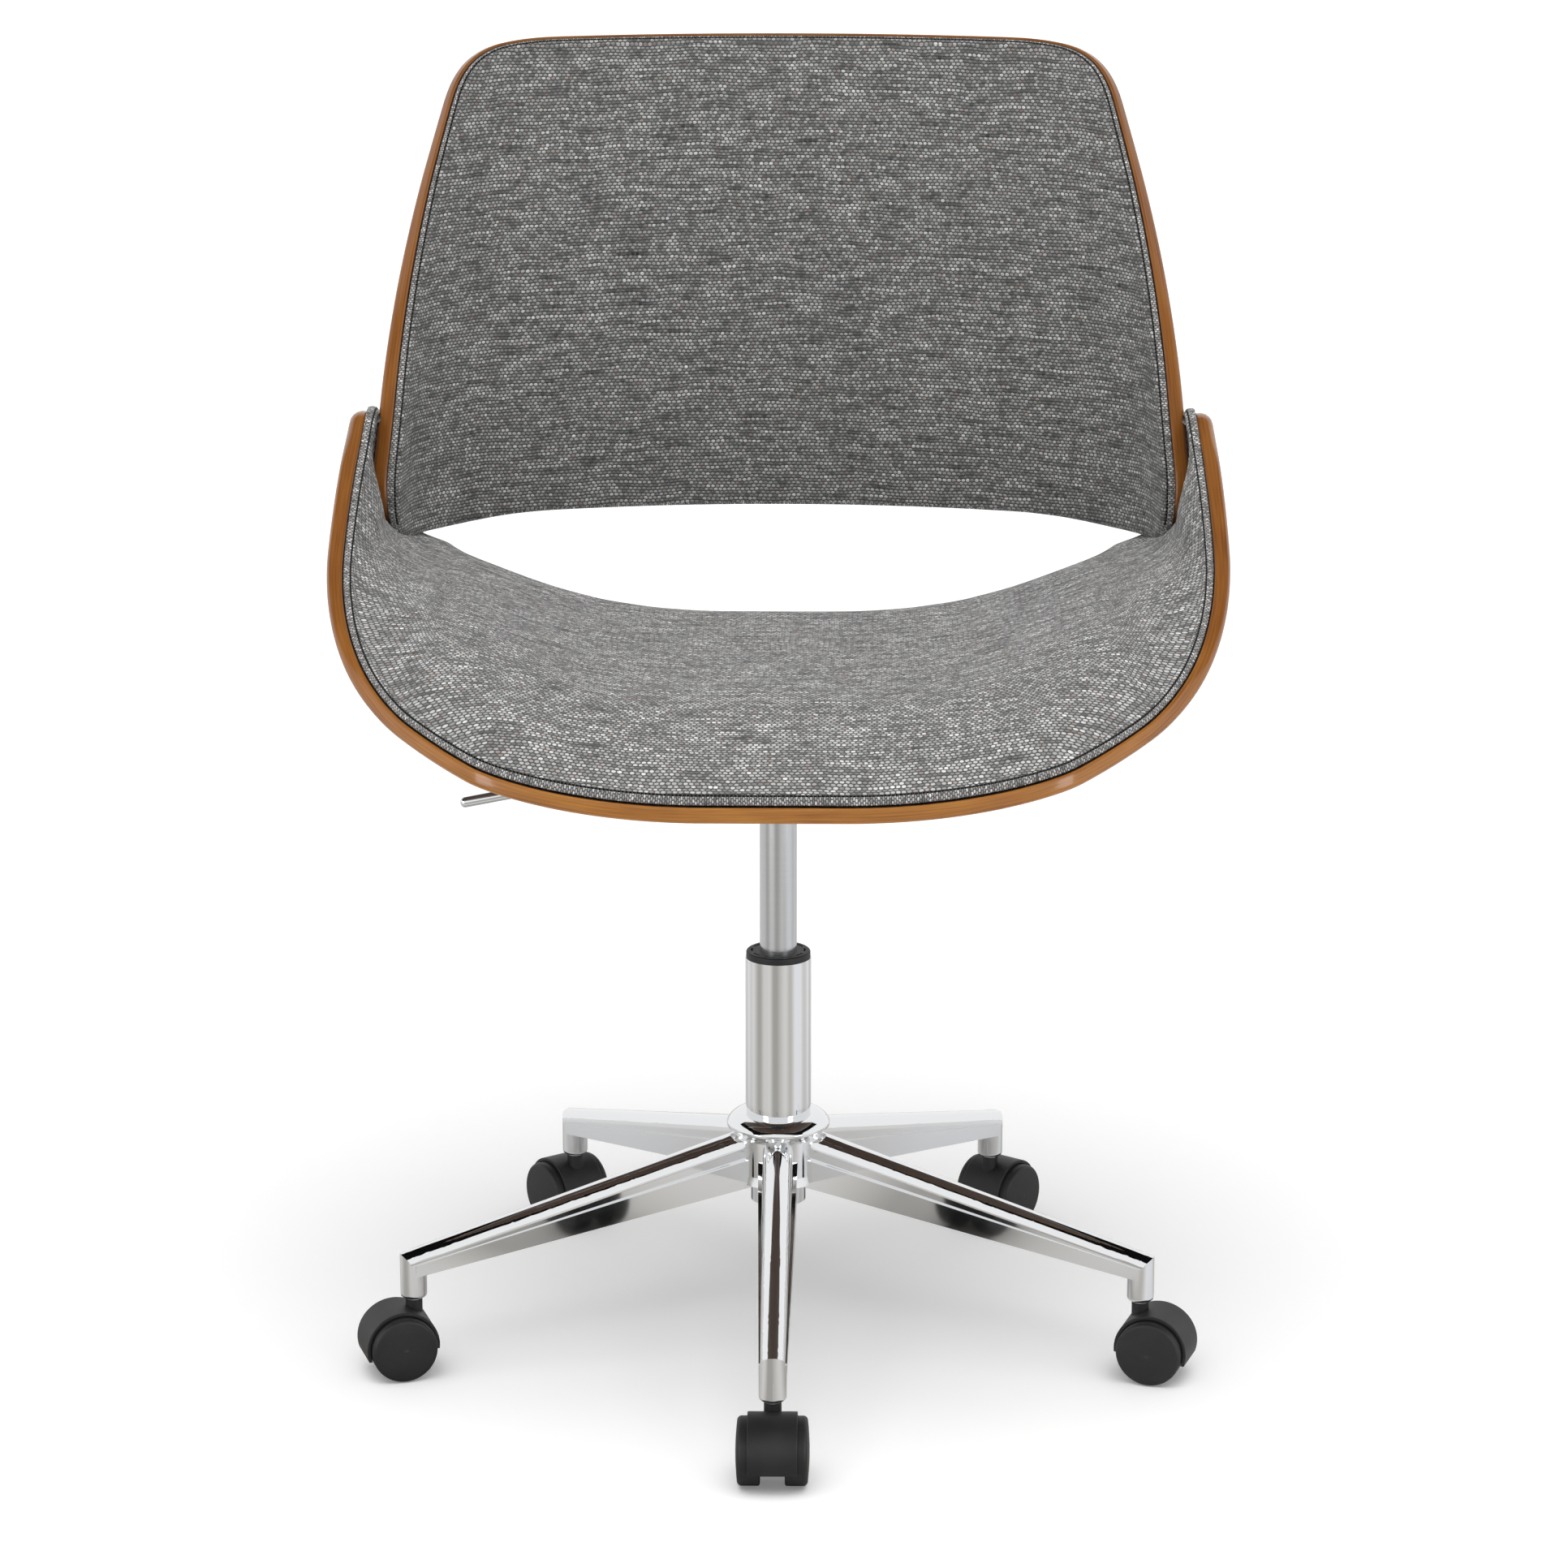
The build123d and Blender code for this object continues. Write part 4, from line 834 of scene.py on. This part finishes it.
def spread(mesh, move, free):
    """Move of each point averaged with its neighbours, over and over, with the held points at
    rest."""
    ends = np.zeros(len(mesh.edges) * 2, np.int32)
    mesh.edges.foreach_get("vertices", ends)
    first, second = ends[::2], ends[1::2]
    count = np.bincount(ends, minlength=len(move))[:, None]
    for _ in range(SPREAD_ROUNDS):
        total = np.zeros_like(move)
        np.add.at(total, first, move[second])
        np.add.at(total, second, move[first])
        move = (move + total / count) / 2 * free
    return move


def swell(piece):
    """Blow a cover up from inside with the cloth solver, with its held points in place, and keep
    the result with no point moved further than the cap (in metres). The foam under a real cover
    evens out its move, so here the move is spread over the neighbours."""
    mesh = piece.data
    before = np.zeros(len(mesh.vertices) * 3, np.float32)
    mesh.vertices.foreach_get("co", before)
    held = np.zeros(len(mesh.vertices), np.float32)
    mesh.attributes["held"].data.foreach_get("value", held)
    group = piece.vertex_groups.new(name="glued")
    group.add(np.flatnonzero(held > 0.5).tolist(), 1.0, "REPLACE")
    cloth = piece.modifiers.new("cover", "CLOTH")
    cloth.settings.use_pressure = True
    cloth.settings.uniform_pressure_force = COVER_PRESSURE
    cloth.settings.vertex_group_mass = "glued"
    cloth.settings.effector_weights.gravity = 0
    cloth.settings.quality = SOLVER_QUALITY
    cloth.settings.tension_stiffness = COVER_STIFFNESS
    cloth.settings.compression_stiffness = COVER_STIFFNESS
    cloth.settings.bending_stiffness = COVER_BENDING
    scene = bpy.context.scene
    for step in range(1, SOLVER_FRAMES + 1):
        scene.frame_set(step)
    shaped = piece.evaluated_get(bpy.context.evaluated_depsgraph_get())
    after = np.zeros_like(before)
    shaped.to_mesh().vertices.foreach_get("co", after)
    shaped.to_mesh_clear()
    piece.modifiers.remove(cloth)
    piece.vertex_groups.remove(group)
    scene.frame_set(1)
    move = (after - before).reshape(-1, 3)
    size = np.linalg.norm(move, axis=1, keepdims=True)
    move = move * np.minimum(1, COVER_CAP / np.maximum(size, 1e-9))
    move = spread(mesh, move, (held < 0.5)[:, None])
    mesh.vertices.foreach_set("co", (before.reshape(-1, 3) + move).ravel())
    mesh.update()
    size = np.linalg.norm(move, axis=1)[held < 0.5] * 1000
    print(piece.name, "cover moved by", size.mean().round(2), "mm, at most", size.max().round(2))


def finish_pad(piece):
    """Let the solver shape a pad, round its faces off, and say how full it is."""
    swell(piece)
    piece.data.attributes.remove(piece.data.attributes["held"])
    rounder = piece.modifiers.new("rounder", "SUBSURF")
    rounder.levels = 1
    rounder.render_levels = 1


# %% Stitches
THREAD = 0.34
STITCH_INSETS = np.array([0.55, 0.95, 1.75, 2.15])
STITCH_RISES = np.array([-1.05, -0.7, 0.15, 0.55])
STITCH_TURN = np.radians([0, 90, 180, 270])
SEWN_ENOUGH = 0.9


def stitch_patches(place, loop, strip, sewn):
    """Stitches that bridge the seam, each a short bent thread with four sides and closed ends."""
    run = run_of(loop)
    whole = run[-1] + np.linalg.norm(loop[0] - loop[-1])
    spots = np.linspace(0, whole, int(whole / STITCH), endpoint=False)
    ring = np.concatenate([loop, loop[:1]])
    ring_run = np.append(run, whole)

    def on(values):
        return np.interp(spots, ring_run, values)

    centre = np.stack([on(ring[:, 0]), on(ring[:, 1])], axis=-1)
    slopes = [np.gradient(ring[:, 0], ring_run), np.gradient(ring[:, 1], ring_run)]
    ahead = np.stack([on(slopes[0]), on(slopes[1])], axis=-1)
    ahead = ahead / np.linalg.norm(ahead, axis=-1, keepdims=True)
    inward = np.stack([-ahead[:, 1], ahead[:, 0]], axis=-1)
    level = on(np.append(strip, strip[0]))
    patches = []
    for spot in np.flatnonzero(on(np.append(sewn, sewn[0])) > SEWN_ENOUGH):
        path = centre[spot] + STITCH_INSETS[:, None] * inward[spot]
        flat = path[None] + THREAD * np.cos(STITCH_TURN)[:, None, None] * ahead[spot]
        depth = PLY + level[spot] + STITCH_RISES[None] + THREAD * np.sin(STITCH_TURN)[:, None]
        body = place(flat[..., 0], flat[..., 1], depth)
        patches.append(patch(body, flat, closed=True))
        for end, flip in ((0, False), (-1, True)):
            cap = body[[[0, 1], [3, 2]], end]
            patches.append(patch(cap, flat[[[0, 1], [3, 2]], end], flip=flip))
    return patches


# %% [markdown]
# ## Seat pad
#
# The seat pad is thick in the bowl, thicker still where the bowl turns up, and thin on the wings.
# It rises steeply from the seam at the front edge to a crest, runs level to the rear, and turns
# over there. On each wing it slips under the flap of the back, so its height is held below the
# plywood that lies over it. A span is a start and a length.

# %% Seat pad shape
SEAT_PAD = 43.5
SEAT_PAD_CORNER = 50.0
SEAT_PAD_WING = 22.0
SEAT_PAD_TIP = 8.0
SEAT_CREST = -100.0
FRONT_STRIP = 8.6
REAR_STRIP = 23.0
PAD_INSET = 2.3
TIP_OVERHANG = 7.0
OVERHANG_SPAN = (673.0, 16.0)
FRONT_STRIP_SPAN = (0.2, 0.5)
REAR_STRIP_SPAN = (0.45, 0.3)
CORNER_SPAN = (0.28, 0.27)
WING_SPAN = (0.63, 0.21)
TIP_SPAN = (0.85, 0.13)
CREST_SPAN = (0.3, 0.4)
BOWL_TURN, WING_TURN, TURN_SPAN = 20.0, 8.0, (0.5, 0.3)
CLIMB_POWER = 2.7
SEAT_GLUED = 0.62
FLAP_GAP = 1.5
FLAP_DEPTH = 45
FLAP_MARGIN = 2.5
FLAP_COVER, FLAP_COVER_SPAN = 28.0, (6.0, 30.0)
LEAST_ROOM, MOST_ROOM = 2.0, 60.0
EASE_ROUNDS = 3


def seat_strip(along, rear):
    """Height of the boxing strip: low at the front, and taller at the rear of the bowl."""
    share = np.abs(along) / seat_along[-1]
    front_strip = toward(FRONT_STRIP, BOXING, share, *FRONT_STRIP_SPAN)
    rear_strip = toward(REAR_STRIP, BOXING, share, *REAR_STRIP_SPAN)
    return np.where(rear, rear_strip, front_strip)


def seat_thickness(face):
    """Height of the panel above the plywood: a steep rise from the front seam to the crest, then
    level, with a turned-over rear edge."""
    share = np.abs(face[..., 0]) / seat_along[-1]
    y = face[..., 1]
    front, rear = y[:, :1], y[:, -1:]
    crown = toward(SEAT_PAD, SEAT_PAD_CORNER, share, *CORNER_SPAN)
    crown = toward(crown, SEAT_PAD_WING, share, *WING_SPAN)
    crown = toward(crown, SEAT_PAD_TIP, share, *TIP_SPAN)
    crest = toward(SEAT_CREST, (front + rear) / 2, share, *CREST_SPAN)
    edge = seat_strip(face[..., 0], False) + ROLL
    climb = np.clip((y - front) / np.maximum(crest - front, 1e-6), 0, 1)
    rise = edge + (crown - edge) * (1 - (1 - climb) ** CLIMB_POWER)
    strip = seat_strip(face[..., 0], True) + ROLL
    turn = toward(BOWL_TURN, WING_TURN, share, *TURN_SPAN)
    left = np.clip((rear - y) / np.minimum(turn, np.maximum((rear - front) / 2, 1e-6)), 0, 1)
    fall = strip + (crown - strip) * np.sqrt(1 - (1 - left) ** 2)
    return np.minimum(rise, fall)


def room_under_back(face):
    """Height that is free above the plywood of the seat, below the outer face of the back."""
    heights = np.arange(0.0, MOST_ROOM + 1.0, 1.0)
    spots = seat_point(face[..., 0:1] + 0 * heights, face[..., 1:2] + 0 * heights, PLY + heights)
    x, y, z = np.abs(spots[..., 0]), spots[..., 1], spots[..., 2]
    run, rise, heading = bend(BACK_BEND, np.linspace(0, BACK_TRIAL, 500))
    level = BACK_Y + (z - BACK_BOTTOM) * math.tan(RECLINE) - y
    gap = (x - np.interp(level, rise, run)) * np.sin(np.interp(level, rise, heading))
    ahead = FLAP_MARGIN + FLAP_COVER * smooth(z - BACK_BOTTOM, *FLAP_COVER_SPAN)
    behind = (back_edge(z) - y < ahead) & (z > BACK_BOTTOM - FLAP_MARGIN) & (level > rise[60])
    blocked = behind & (gap < FLAP_GAP) & (gap > -FLAP_DEPTH)
    first = np.where(blocked.any(axis=-1), blocked.argmax(axis=-1), len(heights))
    return np.clip(first.astype(float), LEAST_ROOM, MOST_ROOM)


def neighbours(field):
    """The four neighbours of each point of a grid."""
    padded = np.pad(field, 1, mode="edge")
    return np.stack([padded[:-2, 1:-1], padded[2:, 1:-1], padded[1:-1, :-2], padded[1:-1, 2:]])


def eased(room):
    """Room with its steps turned into slopes, nowhere higher than it was."""
    field = np.minimum(room, neighbours(room).min(axis=0))
    for _ in range(EASE_ROUNDS):
        field = (neighbours(field).sum(axis=0) + 4 * field) / 8
    return np.minimum(field, room)


def seat_panel(face):
    """Height of the panel above the plywood, where the back leaves room for it."""
    return np.minimum(seat_thickness(face), eased(room_under_back(face)))


def seat_glued(face):
    """The wings, where the cover is glued down."""
    return (np.abs(face[..., 0]) > SEAT_GLUED * seat_along[-1]).astype(float)


pad_outline = loop_of(*seat_limits(PANEL_STATIONS))
pad_tip = smooth(seat_height(pad_outline[:, 0]), *OVERHANG_SPAN)
seat_pad_loop = moved_in(pad_outline, PAD_INSET - TIP_OVERHANG * pad_tip)
rear_half = np.arange(len(seat_pad_loop)) > len(seat_pad_loop) // 2
seat_pad_strip = seat_strip(seat_pad_loop[:, 0], rear_half)
seat_sewn = np.ones(len(seat_pad_loop))
seat_pad = make_piece(
    "seat_cushion",
    pad_patches(seat_point, seat_pad_loop, seat_pad_strip, seat_sewn, seat_panel, seat_glued),
    [seat_tweed, boxing_tweed, seam_groove_shade],
)
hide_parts("seat_pad")
finish_pad(seat_pad)
make_piece(
    "seat_seam",
    stitch_patches(seat_point, seat_pad_loop, seat_pad_strip, seat_sewn),
    [thread],
)

# %% [markdown]
# ## Back pad
#
# The back pad is a shallow crown on the inside of the back shell, thin at its edges. It is sewn
# along its sides and its top. Along the lower edge the cover turns over without a seam and hangs
# a little past the plywood, most of all at the flaps.

# %% Back pad shape
BACK_PAD = 23.5
BACK_PAD_FLAP = 9.0
BACK_STRIP = 7.5
LOW_STRIP = 17.0
LOW_OVER = 3.3
FLAP_OVER = 9.0
LOW_EDGE = 40.0
LOW_STRIP_SPAN = (0.45, 0.45)
SIDE_STRIP_SPAN = (0.5, 0.4)
FLAP_SPAN = (0.35, 0.6)
OVER_SPAN = (0.5, 0.3)
UNSEWN_SPAN = (0.6, 0.3)
CROWN_POWER = 2.8
BACK_GLUED = 0.93


def back_strip(along, low):
    """Height of the boxing strip: tall along the lower edge, where it faces down."""
    share = np.abs(along) / back_along[-1]
    tall = toward(LOW_STRIP, BOXING, share, *LOW_STRIP_SPAN)
    return np.where(low, tall, toward(BACK_STRIP, BOXING, share, *SIDE_STRIP_SPAN))


def back_panel(face):
    """Height of the panel above the plywood: a crown over the slope that thins towards the
    flaps."""
    share = np.abs(face[..., 0]) / back_along[-1]
    up = face[..., 1]
    low, high = up[:, :1], up[:, -1:]
    climb = np.clip(2 * (up - low) / np.maximum(high - low, 1e-6) - 1, -1, 1)
    edge = back_strip(face[..., 0], climb < 0) + ROLL
    crown = toward(BACK_PAD, BACK_PAD_FLAP, share, *FLAP_SPAN)
    return edge + (crown - edge) * (1 - np.abs(climb) ** CROWN_POWER)


def back_glued(face):
    """The ends of the flaps, where the cover is glued down."""
    return (np.abs(face[..., 0]) > BACK_GLUED * back_along[-1]).astype(float)


back_pad_outline = loop_of(*back_limits(PANEL_STATIONS))
lower_half = np.arange(len(back_pad_outline)) <= len(back_pad_outline) // 2
back_share = np.abs(back_pad_outline[:, 0]) / back_along[-1]
low_edge = lower_half * (1 - smooth(back_pad_outline[:, 1], 0.0, LOW_EDGE))
back_over = low_edge * toward(LOW_OVER, FLAP_OVER, back_share, *OVER_SPAN)
back_pad_loop = moved_in(back_pad_outline, PAD_INSET - back_over)
back_sewn = 1 - smooth(low_edge, *UNSEWN_SPAN)
back_pad_strip = back_strip(back_pad_loop[:, 0], lower_half)
back_pad = make_piece(
    "back_cushion",
    pad_patches(back_point, back_pad_loop, back_pad_strip, back_sewn, back_panel, back_glued),
    [back_tweed_shaded, boxing_tweed, seam_groove_shade],
)
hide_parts("back_pad")
finish_pad(back_pad)
make_piece(
    "back_seam",
    stitch_patches(back_point, back_pad_loop, back_pad_strip, back_sewn),
    [thread],
)

# %% [markdown]
# ## Studio
#
# The chair stands on a white floor that fills the picture. Chrome needs something to mirror, so a
# dark card hangs high above, and a tall light box stands to the left and to the right, where only
# reflections can see them. In reflections the floor has bands of grey and beige, like the walls
# of a studio.

# %% Floor, cards and sky
FLOOR_GLOW = 0.15
BOX_STRENGTH = 5.0
SKY_LIGHT = 0.5


def sheet(name, centre, half_u, half_v, paint):
    """Flat rectangle from its centre and the two vectors that lead to the middles of its sides."""
    centre, half_u, half_v = np.array([centre, half_u, half_v], float)
    corners = [centre + u * half_u + v * half_v for u, v in ((-1, -1), (1, -1), (1, 1), (-1, 1))]
    mesh = bpy.data.meshes.new(name)
    mesh.from_pydata([corner.tolist() for corner in corners], [], [(0, 1, 2, 3)])
    mesh.materials.append(paint.material)
    piece = bpy.data.objects.new(name, mesh)
    bpy.context.scene.collection.objects.link(piece)
    return piece


def mirror_card(name, centre, half_u, half_v, paint):
    """Card that only reflections can see."""
    card = sheet(name, centre, half_u, half_v, paint)
    card.visible_camera = False
    card.visible_diffuse = False
    card.visible_shadow = False


floor_paint = Finish(
    "floor_paint", Roughness=0.9, Specular_IOR_Level=0.0, Emission_Color=(1, 1, 1, 1)
)
ray = floor_paint.node("ShaderNodeLightPath")
glow = floor_paint.math("MULTIPLY", ray.outputs["Is Camera Ray"], FLOOR_GLOW)
floor_paint.drive("Emission Strength", glow)
heading = floor_paint.vector("NORMALIZE", floor_paint.where("Object"))
mirrored = floor_paint.ramp(
    floor_paint.noise(heading, 1.3, 1.0),
    (0.34, (0.40, 0.385, 0.365)),
    (0.5, (0.64, 0.62, 0.59)),
    (0.64, (0.82, 0.825, 0.84)),
)
floor_paint.drive(
    "Base Color", floor_paint.tint((0.95, 0.95, 0.95, 1), mirrored, ray.outputs["Is Glossy Ray"])
)
sheet("studio_floor", (0, 0, -0.0005), (14, 0, 0), (0, 14, 0), floor_paint)

card_paint = Finish(
    "card_paint", Roughness=1.0, Specular_IOR_Level=0.0, Base_Color=(0.005, 0.005, 0.005, 1)
)
mirror_card("dark_card", (0, -0.2, 2.6), (3, 0, 0), (0, 2, 0), card_paint)
box_paint = Finish(
    "light_box",
    Base_Color=(0, 0, 0, 1),
    Emission_Color=(1, 1, 1, 1),
    Emission_Strength=BOX_STRENGTH,
)
mirror_card("light_box_left", (-1.3, -1.3, 0.7), (0.18, -0.18, 0), (0, 0, 0.6), box_paint)
mirror_card("light_box_right", (1.3, -1.3, 0.7), (0.18, 0.18, 0), (0, 0, 0.6), box_paint)

world = bpy.data.worlds.new("studio")
bpy.context.scene.world = world
world.use_nodes = True
sky = world.node_tree
paths = sky.nodes.new("ShaderNodeLightPath")
seen = sky.nodes.new("ShaderNodeMath")
seen.operation = "MAXIMUM"
sky.links.new(paths.outputs["Is Camera Ray"], seen.inputs[0])
sky.links.new(paths.outputs["Is Glossy Ray"], seen.inputs[1])
strength = sky.nodes.new("ShaderNodeMath")
strength.operation = "MULTIPLY_ADD"
strength.inputs[1].default_value = 1.0 - SKY_LIGHT
strength.inputs[2].default_value = SKY_LIGHT
sky.links.new(seen.outputs[0], strength.inputs[0])
sky.links.new(strength.outputs[0], sky.nodes["Background"].inputs["Strength"])
sky.nodes["Background"].inputs["Color"].default_value = (1, 1, 1, 1)

# %% Lamps and camera
SUN_SPREAD = math.radians(60)


def soft_sun(name, elevation, side, strength):
    """Broad sun at an elevation above the floor, turned by side from straight in front."""
    light = bpy.data.lights.new(name, "SUN")
    light.angle = SUN_SPREAD
    light.energy = strength
    lit = bpy.data.objects.new(name, light)
    lit.rotation_euler = (math.radians(90 - elevation), 0.0, math.radians(side))
    bpy.context.scene.collection.objects.link(lit)
    lit.visible_glossy = False


soft_sun("key_light", 72, -25, 1.25)
soft_sun("fill_light", 68, 40, 0.7)

AZIMUTH = math.radians(0.75)
PITCH = math.radians(15.49)
DISTANCE = 3.6
HEIGHT = 1.434
SIDE_STEP = 0.0043
SENSOR = 36.0
FOCAL_WIDTHS = 6128 / 1932
sight = bpy.data.cameras.new("camera")
sight.sensor_width = SENSOR
sight.lens = FOCAL_WIDTHS * SENSOR
camera = bpy.data.objects.new("camera", sight)
right = np.array([math.cos(AZIMUTH), math.sin(AZIMUTH), 0.0])
toward_chair = np.array([-math.sin(AZIMUTH), math.cos(AZIMUTH), 0.0])
camera.location = SIDE_STEP * right - DISTANCE * toward_chair + np.array([0.0, 0.0, HEIGHT])
camera.rotation_euler = (math.pi / 2 - PITCH, 0.0, AZIMUTH)
bpy.context.scene.collection.objects.link(camera)
bpy.context.scene.camera = camera

# %% Finish
bpy.context.scene.view_settings.view_transform = "Standard"
